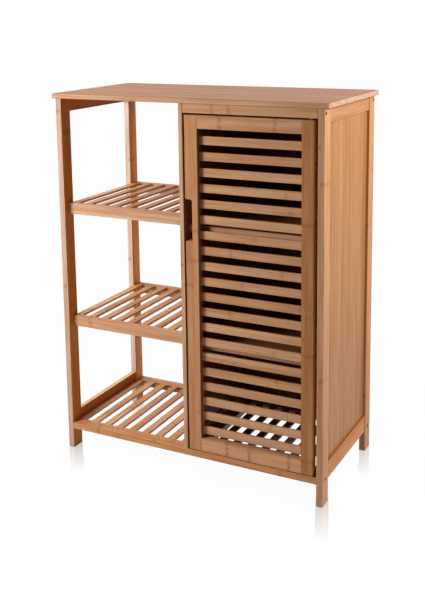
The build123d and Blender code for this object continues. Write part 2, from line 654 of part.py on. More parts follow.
with BuildPart() as upper_shelf_front_rail:
    with BuildSketch(Plane.XY.offset(open_shelf_tops[0] - open_shelf_height)) as upper_front_section:
        with Locations((shelf_x, shelf_front_y)):
            Rectangle(shelf_length, open_shelf_rail_depth)
    extrude(amount=open_shelf_height)
    fillet(upper_shelf_front_rail.edges().filter_by(Axis.X).group_by(Axis.Y)[0], radius=eased_radius)
    with BuildSketch(Plane.XY.offset(open_shelf_tops[0] - groove_drop)) as upper_front_groove:
        with Locations((shelf_x, shelf_inner_front)):
            Rectangle(shelf_length, 2 * groove_reach)
    extrude(amount=groove_height, mode=Mode.SUBTRACT)
    with Locations(*[Plane(origin=(x, shelf_front_y, shelf_screw_heights[0]), z_dir=way)
                     for x, way in shelf_end_planes]):
        Hole(radius=hole_radius, depth=shelf_screw_bore)
upper_shelf_front_rail.part.label = "upper_shelf_front_rail"

with BuildPart() as upper_shelf_rear_rail:
    with BuildSketch(Plane.XY.offset(open_shelf_tops[0] - open_shelf_height)) as upper_rear_section:
        with Locations((shelf_x, shelf_rear_y)):
            Rectangle(shelf_length, open_shelf_rail_depth)
    extrude(amount=open_shelf_height)
    fillet(upper_shelf_rear_rail.edges().filter_by(Axis.X).group_by(Axis.Y)[-1], radius=eased_radius)
    with BuildSketch(Plane.XY.offset(open_shelf_tops[0] - groove_drop)) as upper_rear_groove:
        with Locations((shelf_x, shelf_inner_rear)):
            Rectangle(shelf_length, 2 * groove_reach)
    extrude(amount=groove_height, mode=Mode.SUBTRACT)
    with Locations(*[Plane(origin=(x, shelf_rear_y, shelf_screw_heights[0]), z_dir=way)
                     for x, way in shelf_end_planes]):
        Hole(radius=hole_radius, depth=shelf_screw_bore)
upper_shelf_rear_rail.part.label = "upper_shelf_rear_rail"

with BuildPart() as upper_shelf_slats:
    with BuildSketch(Plane.XY.offset(open_shelf_tops[0] - slat_thickness)) as upper_slat_section:
        with Locations(*slat_spots):
            Rectangle(shelf_slat_width, shelf_span)
    extrude(amount=slat_thickness)
    with BuildSketch(Plane.XY.offset(open_shelf_tops[0] - tongue_drop)) as upper_tongues:
        with Locations(*slat_spots):
            Rectangle(shelf_slat_width, shelf_span + 2 * tongue_length)
    extrude(amount=tongue_thickness)
upper_shelf_slats.part.label = "upper_shelf_slats"

with BuildPart() as lower_shelf_front_rail:
    with BuildSketch(Plane.XY.offset(open_shelf_tops[1] - open_shelf_height)) as lower_front_section:
        with Locations((shelf_x, shelf_front_y)):
            Rectangle(shelf_length, open_shelf_rail_depth)
    extrude(amount=open_shelf_height)
    fillet(lower_shelf_front_rail.edges().filter_by(Axis.X).group_by(Axis.Y)[0], radius=eased_radius)
    with BuildSketch(Plane.XY.offset(open_shelf_tops[1] - groove_drop)) as lower_front_groove:
        with Locations((shelf_x, shelf_inner_front)):
            Rectangle(shelf_length, 2 * groove_reach)
    extrude(amount=groove_height, mode=Mode.SUBTRACT)
    with Locations(*[Plane(origin=(x, shelf_front_y, shelf_screw_heights[1]), z_dir=way)
                     for x, way in shelf_end_planes]):
        Hole(radius=hole_radius, depth=shelf_screw_bore)
lower_shelf_front_rail.part.label = "lower_shelf_front_rail"

with BuildPart() as lower_shelf_rear_rail:
    with BuildSketch(Plane.XY.offset(open_shelf_tops[1] - open_shelf_height)) as lower_rear_section:
        with Locations((shelf_x, shelf_rear_y)):
            Rectangle(shelf_length, open_shelf_rail_depth)
    extrude(amount=open_shelf_height)
    fillet(lower_shelf_rear_rail.edges().filter_by(Axis.X).group_by(Axis.Y)[-1], radius=eased_radius)
    with BuildSketch(Plane.XY.offset(open_shelf_tops[1] - groove_drop)) as lower_rear_groove:
        with Locations((shelf_x, shelf_inner_rear)):
            Rectangle(shelf_length, 2 * groove_reach)
    extrude(amount=groove_height, mode=Mode.SUBTRACT)
    with Locations(*[Plane(origin=(x, shelf_rear_y, shelf_screw_heights[1]), z_dir=way)
                     for x, way in shelf_end_planes]):
        Hole(radius=hole_radius, depth=shelf_screw_bore)
lower_shelf_rear_rail.part.label = "lower_shelf_rear_rail"

with BuildPart() as lower_shelf_slats:
    with BuildSketch(Plane.XY.offset(open_shelf_tops[1] - slat_thickness)) as lower_slat_section:
        with Locations(*slat_spots):
            Rectangle(shelf_slat_width, shelf_span)
    extrude(amount=slat_thickness)
    with BuildSketch(Plane.XY.offset(open_shelf_tops[1] - tongue_drop)) as lower_tongues:
        with Locations(*slat_spots):
            Rectangle(shelf_slat_width, shelf_span + 2 * tongue_length)
    extrude(amount=tongue_thickness)
lower_shelf_slats.part.label = "lower_shelf_slats"

# Flat shelves of the cupboard, lying on four pins each
inner_left = partition_right + inner_shelf_side_gap
inner_right = inner_x - inner_shelf_side_gap
inner_front = -pin_y - inner_shelf_front_cover
inner_rear = pin_y + inner_shelf_rear_cover
inner_spot = ((inner_left + inner_right) / 2, (inner_front + inner_rear) / 2)

with BuildPart() as inner_upper_shelf:
    with BuildSketch(Plane.XY.offset(inner_shelf_tops[0] - inner_shelf_thickness)) as inner_upper_section:
        with Locations(inner_spot):
            Rectangle(inner_right - inner_left, inner_rear - inner_front)
    extrude(amount=inner_shelf_thickness)
    fillet(inner_upper_shelf.edges().filter_by(Axis.X).group_by(Axis.Y)[0], radius=eased_radius)
inner_upper_shelf.part.label = "inner_upper_shelf"

with BuildPart() as inner_lower_shelf:
    with BuildSketch(Plane.XY.offset(inner_shelf_tops[1] - inner_shelf_thickness)) as inner_lower_section:
        with Locations(inner_spot):
            Rectangle(inner_right - inner_left, inner_rear - inner_front)
    extrude(amount=inner_shelf_thickness)
    fillet(inner_lower_shelf.edges().filter_by(Axis.X).group_by(Axis.Y)[0], radius=eased_radius)
inner_lower_shelf.part.label = "inner_lower_shelf"

with BuildPart() as shelf_pins:
    for height in shelf_pin_heights:
        with Locations(*[Plane(origin=(partition_right - shelf_pin_in, y, height), z_dir=(1, 0, 0))
                         for y in (-pin_y, pin_y)]):
            Cylinder(shelf_pin_radius, shelf_pin_in + shelf_pin_out,
                     align=(Align.CENTER, Align.CENTER, Align.MIN))
        with Locations(*[Plane(origin=(inner_x + shelf_pin_in, y, height), z_dir=(-1, 0, 0))
                         for y in (-pin_y, pin_y)]):
            Cylinder(shelf_pin_radius, shelf_pin_in + shelf_pin_out,
                     align=(Align.CENTER, Align.CENTER, Align.MIN))
shelf_pins.part.label = "shelf_pins"

# Top board with rounded corners and edges
with BuildPart() as top_board:
    with BuildSketch(Plane.XY.offset(frame_height)) as top_section:
        RectangleRounded(overall_width, overall_depth, top_corner_radius)
    extrude(amount=top_thickness)
    fillet(top_board.faces().sort_by(Axis.Z)[0].edges(), radius=top_edge_radius)
    fillet(top_board.faces().sort_by(Axis.Z)[-1].edges(), radius=top_edge_radius)
    with Locations(*[Plane(origin=(x, y, frame_height), z_dir=(0, 0, -1))
                     for x in (-leg_x, leg_x) for y in (-top_dowel_y, top_dowel_y)]):
        Hole(radius=dowel_hole_radius, depth=top_dowel_seat + dowel_end_gap)
    with Locations(*[Plane(origin=(x, y, frame_height), z_dir=(0, 0, -1))
                     for x, y in ((-top_dowel_x, apron_y), (top_dowel_x, apron_y), (top_dowel_x, -apron_y),
                                  (partition_right + top_dowel_inset, -apron_y), (partition_centre, 0))]):
        Hole(radius=dowel_hole_radius, depth=top_dowel_seat + dowel_end_gap)
top_board.part.label = "top_board"

# Door frame: stiles with mortises, rails with tenons
door_left = partition_right + door_left_gap
door_height = door_high - door_low
cutout_high = door_high - cutout_drop
cutout_low = cutout_high - cutout_height
opening_left = door_left + door_left_stile_width
opening_right = door_right - door_right_stile_width
opening_low = door_low + door_bottom_rail_height
opening_high = door_high - door_top_rail_height
opening_width = opening_right - opening_left
door_front = -frame_half_depth
door_rear = door_front + door_thickness
door_mid_y = (door_front + door_rear) / 2
rebate_y = door_front + door_slat_recess
rebate_depth = door_rear - rebate_y + running_gap
door_top_mid = door_high - door_top_rail_height / 2
door_bottom_mid = door_low + door_bottom_rail_height / 2
top_tenon_height = door_top_rail_height - 2 * door_tenon_shoulder
bottom_tenon_height = door_bottom_rail_height - 2 * door_tenon_shoulder
mortise_reach = door_tenon_length + panel_end_gap

with BuildPart() as door_left_stile:
    with BuildSketch(Plane.XZ.offset(-door_front)) as left_stile_outline:
        with Locations((door_left + door_left_stile_width / 2, door_low + door_height / 2)):
            Rectangle(door_left_stile_width, door_height)
        with Locations((door_left, (cutout_low + cutout_high) / 2)):
            Rectangle(2 * cutout_depth, cutout_high - cutout_low, mode=Mode.SUBTRACT)
        corners = left_stile_outline.vertices().filter_by_position(
            Axis.Y, cutout_low - eased_radius, cutout_high + eased_radius)
        outer_corners = corners.group_by(Axis.X)[0]
        inner_corners = corners.group_by(Axis.X)[-1].sort_by(Axis.Y)
        fillet(outer_corners, radius=cutout_outer_radius)
        fillet(inner_corners[0], radius=cutout_bottom_radius)
        fillet(inner_corners[1], radius=cutout_top_radius)
    extrude(amount=-door_thickness)
    fillet(door_left_stile.faces().sort_by(Axis.Y)[0].edges().group_by(Axis.X)[0], radius=eased_radius)
    with BuildSketch(Plane.XY.offset(opening_low)) as left_rebate:
        with Locations((opening_left, door_rear)):
            Rectangle(2 * (door_rebate_width + panel_end_gap), 2 * rebate_depth)
    extrude(amount=opening_high - opening_low, mode=Mode.SUBTRACT)
    for middle, tall in ((door_top_mid, top_tenon_height), (door_bottom_mid, bottom_tenon_height)):
        with BuildSketch(Plane.XY.offset(middle - tall / 2 - tenon_gap)) as left_mortise:
            with Locations((opening_left, door_mid_y)):
                Rectangle(2 * mortise_reach, door_tenon_thickness + 2 * tenon_gap)
        extrude(amount=tall + 2 * tenon_gap, mode=Mode.SUBTRACT)
    with Locations(Plane(origin=(door_left + keeper_edge_gap + keeper_width / 2, door_rear,
                                 catch_low + catch_height / 2), z_dir=(0, 1, 0))):
        Hole(radius=keeper_stud_radius + running_gap, depth=keeper_stud_length + dowel_end_gap)
door_left_stile.part.label = "door_left_stile"

with BuildPart() as door_right_stile:
    with BuildSketch(Plane.XY.offset(door_low)) as right_stile_section:
        with Locations((door_right - door_right_stile_width / 2, door_mid_y)):
            Rectangle(door_right_stile_width, door_thickness)
    extrude(amount=door_height)
    fillet(door_right_stile.edges().filter_by(Axis.Z).group_by(Axis.X)[-1], radius=eased_radius)
    with BuildSketch(Plane.XY.offset(opening_low)) as right_rebate:
        with Locations((opening_right, door_rear)):
            Rectangle(2 * (door_rebate_width + panel_end_gap), 2 * rebate_depth)
    extrude(amount=opening_high - opening_low, mode=Mode.SUBTRACT)
    for middle, tall in ((door_top_mid, top_tenon_height), (door_bottom_mid, bottom_tenon_height)):
        with BuildSketch(Plane.XY.offset(middle - tall / 2 - tenon_gap)) as right_mortise:
            with Locations((opening_right, door_mid_y)):
                Rectangle(2 * mortise_reach, door_tenon_thickness + 2 * tenon_gap)
        extrude(amount=tall + 2 * tenon_gap, mode=Mode.SUBTRACT)
    with Locations(Plane(origin=(hinge_x, hinge_y, door_high)),
                   Plane(origin=(hinge_x, hinge_y, door_low), z_dir=(0, 0, -1))):
        Hole(radius=hinge_pin_radius + running_gap, depth=hinge_pin_seat + panel_end_gap)
door_right_stile.part.label = "door_right_stile"

with BuildPart() as door_top_rail:
    with BuildSketch(Plane.XY.offset(opening_high)) as door_top_section:
        with Locations(((opening_left + opening_right) / 2, door_mid_y)):
            Rectangle(opening_width, door_thickness)
    extrude(amount=door_top_rail_height)
    with BuildSketch(Plane.XY.offset(door_top_mid - top_tenon_height / 2)) as door_top_tenons:
        with Locations(((opening_left + opening_right) / 2, door_mid_y)):
            Rectangle(opening_width + 2 * door_tenon_length, door_tenon_thickness)
    extrude(amount=top_tenon_height)
door_top_rail.part.label = "door_top_rail"

with BuildPart() as door_bottom_rail:
    with BuildSketch(Plane.XY.offset(door_low)) as door_bottom_section:
        with Locations(((opening_left + opening_right) / 2, door_mid_y)):
            Rectangle(opening_width, door_thickness)
    extrude(amount=door_bottom_rail_height)
    with BuildSketch(Plane.XY.offset(door_bottom_mid - bottom_tenon_height / 2)) as door_bottom_tenons:
        with Locations(((opening_left + opening_right) / 2, door_mid_y)):
            Rectangle(opening_width + 2 * door_tenon_length, door_tenon_thickness)
    extrude(amount=bottom_tenon_height)
door_bottom_rail.part.label = "door_bottom_rail"

# Door slats, lapped into the rear rebates of the stiles
door_slat_run = opening_high - opening_low - door_first_gap - door_last_gap - door_slat_height
door_slat_pitch = door_slat_run / (door_slat_count - 1)
door_slat_spots = [
    ((opening_left + opening_right) / 2,
     opening_high - door_first_gap - door_slat_height / 2 - step * door_slat_pitch)
    for step in range(door_slat_count)
]

with BuildPart() as door_slats:
    with BuildSketch(Plane.XZ.offset(-rebate_y)) as door_slat_section:
        with Locations(*door_slat_spots):
            Rectangle(opening_width + 2 * door_rebate_width, door_slat_height)
    extrude(amount=-slat_thickness)
door_slats.part.label = "door_slats"

# Pivot pins, bushes and washer
with BuildPart() as top_hinge_pin:
    with BuildSketch(Plane.XY.offset(door_high - hinge_pin_seat)) as top_pin_section:
        with Locations((hinge_x, hinge_y)):
            Circle(hinge_pin_radius)
    extrude(amount=hinge_pin_seat + door_top_gap + hinge_pin_engagement)
top_hinge_pin.part.label = "top_hinge_pin"

with BuildPart() as bottom_hinge_pin:
    with BuildSketch(Plane.XY.offset(floor_top - hinge_pin_engagement)) as bottom_pin_section:
        with Locations((hinge_x, hinge_y)):
            Circle(hinge_pin_radius)
    extrude(amount=hinge_pin_engagement + door_bottom_gap + hinge_pin_seat)
bottom_hinge_pin.part.label = "bottom_hinge_pin"

with BuildPart() as top_hinge_bush:
    with BuildSketch(Plane.XY.offset(apron_low)) as top_bush_section:
        with Locations((hinge_x, hinge_y)):
            Circle(hinge_bush_radius)
    extrude(amount=hinge_bush_length)
    with BuildSketch(Plane.XY.offset(apron_low - hinge_flange_thickness)) as top_flange_section:
        with Locations((hinge_x, hinge_y)):
            Circle(hinge_flange_radius)
    extrude(amount=hinge_flange_thickness)
    with BuildSketch(Plane.XY.offset(apron_low - hinge_flange_thickness)) as top_bush_bore:
        with Locations((hinge_x, hinge_y)):
            Circle(hinge_pin_radius + running_gap)
    extrude(amount=hinge_bush_length + hinge_flange_thickness, mode=Mode.SUBTRACT)
top_hinge_bush.part.label = "top_hinge_bush"

with BuildPart() as bottom_hinge_bush:
    with BuildSketch(Plane.XY.offset(floor_top - hinge_bush_length)) as bottom_bush_section:
        with Locations((hinge_x, hinge_y)):
            Circle(hinge_bush_radius)
            Circle(hinge_pin_radius + running_gap, mode=Mode.SUBTRACT)
    extrude(amount=hinge_bush_length)
bottom_hinge_bush.part.label = "bottom_hinge_bush"

with BuildPart() as hinge_washer:
    with BuildSketch(Plane.XY.offset(floor_top)) as washer_section:
        with Locations((hinge_x, hinge_y)):
            Circle(hinge_flange_radius)
            Circle(hinge_pin_radius + running_gap, mode=Mode.SUBTRACT)
    extrude(amount=hinge_washer_thickness)
hinge_washer.part.label = "hinge_washer"

# Magnetic catch on the partition post and its keeper plate on the door
catch_front = door_rear + keeper_thickness + catch_gap
catch_mid_z = catch_low + catch_height / 2
catch_screw_spots = [(partition_right + catch_width, catch_front + catch_depth / 2, catch_mid_z + drop)
                     for drop in (-small_screw_spacing / 2, small_screw_spacing / 2)]

with BuildPart() as catch_body:
    with BuildSketch(Plane.XY.offset(catch_low)) as catch_section:
        with Locations((partition_right + catch_width / 2, catch_front + catch_depth / 2)):
            Rectangle(catch_width, catch_depth)
    extrude(amount=catch_height)
    fillet(catch_body.edges().filter_by(Axis.Z).group_by(Axis.X)[-1], radius=eased_radius)
    with Locations(*[Plane(origin=spot, z_dir=(1, 0, 0)) for spot in catch_screw_spots]):
        CounterBoreHole(small_screw_radius + running_gap, small_screw_head_radius + running_gap,
                        catch_width - small_screw_grip, depth=catch_width)
catch_body.part.label = "catch_body"

with BuildPart() as catch_screws:
    with Locations(*[Plane(origin=(partition_right - small_screw_bite, y, z), z_dir=(1, 0, 0))
                     for x, y, z in catch_screw_spots]):
        Cylinder(small_screw_radius, small_screw_bite + small_screw_grip,
                 align=(Align.CENTER, Align.CENTER, Align.MIN))
    with Locations(*[Plane(origin=(partition_right + small_screw_grip, y, z), z_dir=(1, 0, 0))
                     for x, y, z in catch_screw_spots]):
        Cylinder(small_screw_head_radius, small_screw_head_height,
                 align=(Align.CENTER, Align.CENTER, Align.MIN))
catch_screws.part.label = "catch_screws"

with BuildPart() as door_keeper:
    with BuildSketch(Plane.XZ.offset(-door_rear)) as keeper_outline:
        with Locations((door_left + keeper_edge_gap + keeper_width / 2, catch_mid_z)):
            Rectangle(keeper_width, keeper_height)
    extrude(amount=-keeper_thickness)
    with BuildSketch(Plane.XZ.offset(-door_rear)) as keeper_stud:
        with Locations((door_left + keeper_edge_gap + keeper_width / 2, catch_mid_z)):
            Circle(keeper_stud_radius)
    extrude(amount=keeper_stud_length)
door_keeper.part.label = "door_keeper"

# Countersunk screws with a hexagon socket, drawn head up at the origin
with BuildPart(mode=Mode.PRIVATE) as long_screw:
    with BuildSketch(Plane.XZ) as long_screw_profile:
        with BuildLine():
            Polyline(
                (0, -screw_head_recess),
                (screw_head_radius, -screw_head_recess),
                (screw_radius, -screw_head_recess - screw_head_radius + screw_radius),
                (screw_radius, -screw_length + screw_radius),
                (0, -screw_length),
                close=True,
            )
        make_face()
    revolve(axis=Axis.Z)
    with BuildSketch(Plane.XY.offset(-screw_head_recess)):
        RegularPolygon(socket_radius, 6)
    extrude(amount=-socket_depth, mode=Mode.SUBTRACT)

with BuildPart(mode=Mode.PRIVATE) as post_screw:
    with BuildSketch(Plane.XZ) as post_screw_profile:
        with BuildLine():
            Polyline(
                (0, -screw_head_recess),
                (screw_head_radius, -screw_head_recess),
                (screw_radius, -screw_head_recess - screw_head_radius + screw_radius),
                (screw_radius, -post_screw_length + screw_radius),
                (0, -post_screw_length),
                close=True,
            )
        make_face()
    revolve(axis=Axis.Z)
    with BuildSketch(Plane.XY.offset(-screw_head_recess)):
        RegularPolygon(socket_radius, 6)
    extrude(amount=-socket_depth, mode=Mode.SUBTRACT)

with BuildPart(mode=Mode.PRIVATE) as short_screw:
    with BuildSketch(Plane.XZ) as short_screw_profile:
        with BuildLine():
            Polyline(
                (0, -screw_head_recess),
                (screw_head_radius, -screw_head_recess),
                (screw_radius, -screw_head_recess - screw_head_radius + screw_radius),
                (screw_radius, -rear_screw_length + screw_radius),
                (0, -rear_screw_length),
                close=True,
            )
        make_face()
    revolve(axis=Axis.Z)
    with BuildSketch(Plane.XY.offset(-screw_head_recess)):
        RegularPolygon(socket_radius, 6)
    extrude(amount=-socket_depth, mode=Mode.SUBTRACT)

with BuildPart() as leg_screws:
    with Locations(*facing_right, *facing_left):
        add(long_screw.part)
leg_screws.part.label = "leg_screws"

with BuildPart() as partition_screws:
    with Locations(*facing_shelf,
                   Plane(origin=(partition_left, -apron_y, apron_screw_z), z_dir=(-1, 0, 0))):
        add(long_screw.part)
partition_screws.part.label = "partition_screws"

with BuildPart() as post_screws:
    with Locations(*[Plane(origin=spot, z_dir=(0, 0, -1))
                     for spot in (post_screw_spot, rear_post_screw_spot)]):
        add(post_screw.part)
post_screws.part.label = "post_screws"

with BuildPart() as rear_rail_screw:
    with Locations(Plane(origin=(partition_centre, frame_half_depth, apron_screw_z), z_dir=(0, 1, 0))):
        add(short_screw.part)
rear_rail_screw.part.label = "rear_rail_screw"

# Wooden dowels with chamfered ends
with BuildPart(mode=Mode.PRIVATE) as frame_dowel:
    Cylinder(dowel_radius, dowel_length)
    chamfer(frame_dowel.edges().filter_by(GeomType.CIRCLE), length=dowel_chamfer)

with BuildPart(mode=Mode.PRIVATE) as top_dowel:
    with BuildSketch(Plane.XY.offset(top_dowel_seat - top_dowel_length)) as top_dowel_section:
        Circle(dowel_radius)
    extrude(amount=top_dowel_length)
    chamfer(top_dowel.edges().filter_by(GeomType.CIRCLE), length=dowel_chamfer)

with BuildPart() as frame_dowels:
    with Locations(*[Plane(origin=(x, end.origin.Y, z), z_dir=end.z_dir)
                     for x in (-leg_x, leg_x) for end in rail_ends for z in side_dowel_heights]):
        add(frame_dowel.part)
frame_dowels.part.label = "frame_dowels"

with BuildPart() as partition_dowels:
    with Locations(*[Plane(origin=(partition_centre, end.origin.Y, z), z_dir=end.z_dir)
                     for end in rail_ends for z in (partition_low_dowel, partition_high_dowel)]):
        add(frame_dowel.part)
partition_dowels.part.label = "partition_dowels"

with BuildPart() as top_board_dowels:
    with Locations(*[Plane(origin=(x, y, frame_height))
                     for x in (-leg_x, leg_x) for y in (-top_dowel_y, top_dowel_y)]):
        add(top_dowel.part)
    with Locations(*[Plane(origin=(x, y, frame_height))
                     for x, y in ((-top_dowel_x, apron_y), (top_dowel_x, apron_y), (top_dowel_x, -apron_y),
                                  (partition_right + top_dowel_inset, -apron_y), (partition_centre, 0))]):
        add(top_dowel.part)
top_board_dowels.part.label = "top_board_dowels"

# One file for each named piece
export_step(top_board.part, "parts/top_board.step")
export_step(left_front_leg.part, "parts/left_front_leg.step")
export_step(left_rear_leg.part, "parts/left_rear_leg.step")
export_step(right_front_leg.part, "parts/right_front_leg.step")
export_step(right_rear_leg.part, "parts/right_rear_leg.step")
export_step(left_top_rail.part, "parts/left_top_rail.step")
export_step(left_bottom_rail.part, "parts/left_bottom_rail.step")
export_step(right_top_rail.part, "parts/right_top_rail.step")
export_step(right_bottom_rail.part, "parts/right_bottom_rail.step")
export_step(right_side_panel.part, "parts/right_side_panel.step")
export_step(bottom_front_rail.part, "parts/bottom_front_rail.step")
export_step(bottom_rear_rail.part, "parts/bottom_rear_rail.step")
export_step(bottom_slats.part, "parts/bottom_slats.step")
export_step(bottom_middle_bearer.part, "parts/bottom_middle_bearer.step")
export_step(partition_front_post.part, "parts/partition_front_post.step")
export_step(partition_rear_post.part, "parts/partition_rear_post.step")
export_step(partition_bottom_rail.part, "parts/partition_bottom_rail.step")
export_step(partition_top_rail.part, "parts/partition_top_rail.step")
export_step(partition_panel.part, "parts/partition_panel.step")
export_step(front_apron.part, "parts/front_apron.step")
export_step(rear_top_rail.part, "parts/rear_top_rail.step")
export_step(back_panel.part, "parts/back_panel.step")
export_step(upper_shelf_front_rail.part, "parts/upper_shelf_front_rail.step")
export_step(upper_shelf_rear_rail.part, "parts/upper_shelf_rear_rail.step")
export_step(upper_shelf_slats.part, "parts/upper_shelf_slats.step")
export_step(lower_shelf_front_rail.part, "parts/lower_shelf_front_rail.step")
export_step(lower_shelf_rear_rail.part, "parts/lower_shelf_rear_rail.step")
export_step(lower_shelf_slats.part, "parts/lower_shelf_slats.step")
export_step(inner_upper_shelf.part, "parts/inner_upper_shelf.step")
export_step(inner_lower_shelf.part, "parts/inner_lower_shelf.step")
export_step(shelf_pins.part, "parts/shelf_pins.step")
export_step(door_left_stile.part, "parts/door_left_stile.step")
export_step(door_right_stile.part, "parts/door_right_stile.step")
export_step(door_top_rail.part, "parts/door_top_rail.step")
export_step(door_bottom_rail.part, "parts/door_bottom_rail.step")
export_step(door_slats.part, "parts/door_slats.step")
export_step(top_hinge_pin.part, "parts/top_hinge_pin.step")
export_step(bottom_hinge_pin.part, "parts/bottom_hinge_pin.step")
export_step(top_hinge_bush.part, "parts/top_hinge_bush.step")
export_step(bottom_hinge_bush.part, "parts/bottom_hinge_bush.step")
export_step(hinge_washer.part, "parts/hinge_washer.step")
export_step(catch_body.part, "parts/catch_body.step")
export_step(catch_screws.part, "parts/catch_screws.step")
export_step(door_keeper.part, "parts/door_keeper.step")
export_step(leg_screws.part, "parts/leg_screws.step")
export_step(partition_screws.part, "parts/partition_screws.step")
export_step(post_screws.part, "parts/post_screws.step")
export_step(rear_rail_screw.part, "parts/rear_rail_screw.step")
export_step(frame_dowels.part, "parts/frame_dowels.step")
export_step(partition_dowels.part, "parts/partition_dowels.step")
export_step(top_board_dowels.part, "parts/top_board_dowels.step")
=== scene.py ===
"""Bamboo storage cabinet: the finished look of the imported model, with its studio and camera."""

import logging
import math
from collections.abc import Callable, Mapping, Sequence
from dataclasses import dataclass, field, replace
from enum import Enum
from functools import partial
from typing import Any

import bpy
import numpy as np
from mathutils import Matrix, Vector


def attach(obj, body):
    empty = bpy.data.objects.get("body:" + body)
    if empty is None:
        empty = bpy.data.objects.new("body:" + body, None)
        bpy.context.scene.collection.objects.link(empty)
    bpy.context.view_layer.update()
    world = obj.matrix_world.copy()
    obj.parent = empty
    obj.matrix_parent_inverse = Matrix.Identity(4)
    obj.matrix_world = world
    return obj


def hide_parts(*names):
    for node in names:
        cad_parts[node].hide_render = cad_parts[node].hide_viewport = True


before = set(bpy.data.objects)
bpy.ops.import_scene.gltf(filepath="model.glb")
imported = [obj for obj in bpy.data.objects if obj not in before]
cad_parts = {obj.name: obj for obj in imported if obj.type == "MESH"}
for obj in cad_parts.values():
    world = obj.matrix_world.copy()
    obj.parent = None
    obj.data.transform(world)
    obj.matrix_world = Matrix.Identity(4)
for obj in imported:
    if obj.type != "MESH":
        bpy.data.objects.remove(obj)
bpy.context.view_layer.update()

log = logging.getLogger("bamboo_cabinet")

Span = tuple[float, float]
Point = tuple[float, float, float]
Tone = tuple[float, float, float]
Colour = tuple[float, float, float, float]
Surface = tuple[np.ndarray, list[list[int]]]
Node = bpy.types.Node
Socket = bpy.types.NodeSocket
Add = Callable[..., Node]

# Sizes are written in millimetres, and meshes and shaders take metres.
MM = 0.001
# The Mix node's colour sockets go by number, because their names repeat for each kind of data.
MIX_A, MIX_B, MIX_RESULT = 6, 7, 2
# Nearly all of the noise texture's values lie between these two.
NOISE_LOW, NOISE_HIGH = 0.3, 0.7
# The share of a face's normal along an axis where a face's painted light and shade starts and where
# it is full.
FACE_START, FACE_FULL = 0.5, 0.8
# These spread values between nought and one far enough apart that no two boards or strips match.
BOARD_SPREAD, SHIFT_SPREAD = 97.0, 53.0
GOLDEN_SHARE = 0.618034
# How far a slat reaches into the rails at its ends, so that no light shows there.
LET_IN = 0.1


class Grain(Enum):
    """The row axis that a piece's fibres run along: its own index, then the two across it."""

    ALONG_X = (0, 1, 2)
    ALONG_Y = (1, 0, 2)
    ALONG_Z = (2, 0, 1)


class Facing(Enum):
    """Where a face looks: the normal's axis and its sign."""

    LEFT = ("X", -1)
    RIGHT = ("X", 1)
    FRONT = ("Y", -1)
    REAR = ("Y", 1)
    UNDER = ("Z", -1)
    TOP = ("Z", 1)


class Carried(Enum):
    """The row axis along which an outline is carried, with the two axes that it lies in."""

    X = (0, 1, 2)
    Y = (1, 2, 0)
    Z = (2, 0, 1)


def linear(colour: str) -> Colour:
    """Turn an sRGB hex colour into the linear RGBA that shader sockets take.

    The numbers are those of the sRGB curve: a straight foot, and a power of 2.4 above it.

    Args:
        colour: Six hex digits, such as "c89a6b".

    Returns:
        Linear red, green and blue with an alpha of one.
    """
    values = [int(colour[place : place + 2], 16) / 255 for place in (0, 2, 4)]
    red, green, blue = [v / 12.92 if v <= 0.04045 else ((v + 0.055) / 1.055) ** 2.4 for v in values]
    return red, green, blue, 1.0


def add_node(
    tree: bpy.types.NodeTree, kind: str, inputs: Mapping[Any, Any] | None = None, **settings: Any
) -> Node:
    """Add a node with its settings and links.

    Args:
        tree: The node tree that gets the node.
        kind: The node's type name after "ShaderNode".
        inputs: Socket name or index to a value, a socket, or a node whose first output is meant.
        **settings: Properties set on the node itself.

    Returns:
        The new node.
    """
    node = tree.nodes.new(f"ShaderNode{kind}")
    for name, value in settings.items():
        setattr(node, name, value)
    for key, value in (inputs or {}).items():
        if isinstance(value, Node):
            value = value.outputs[0]
        if isinstance(value, Socket):
            tree.links.new(value, node.inputs[key])
        else:
            node.inputs[key].default_value = value
    return node


def new_material(name: str) -> tuple[bpy.types.Material, Add]:
    """Make an empty node material.

    Args:
        name: The material's name.

    Returns:
        The material, and the function that adds a node to its tree.
    """
    material = bpy.data.materials.new(name)
    material.use_nodes = True
    material.node_tree.nodes.clear()
    return material, partial(add_node, material.node_tree)


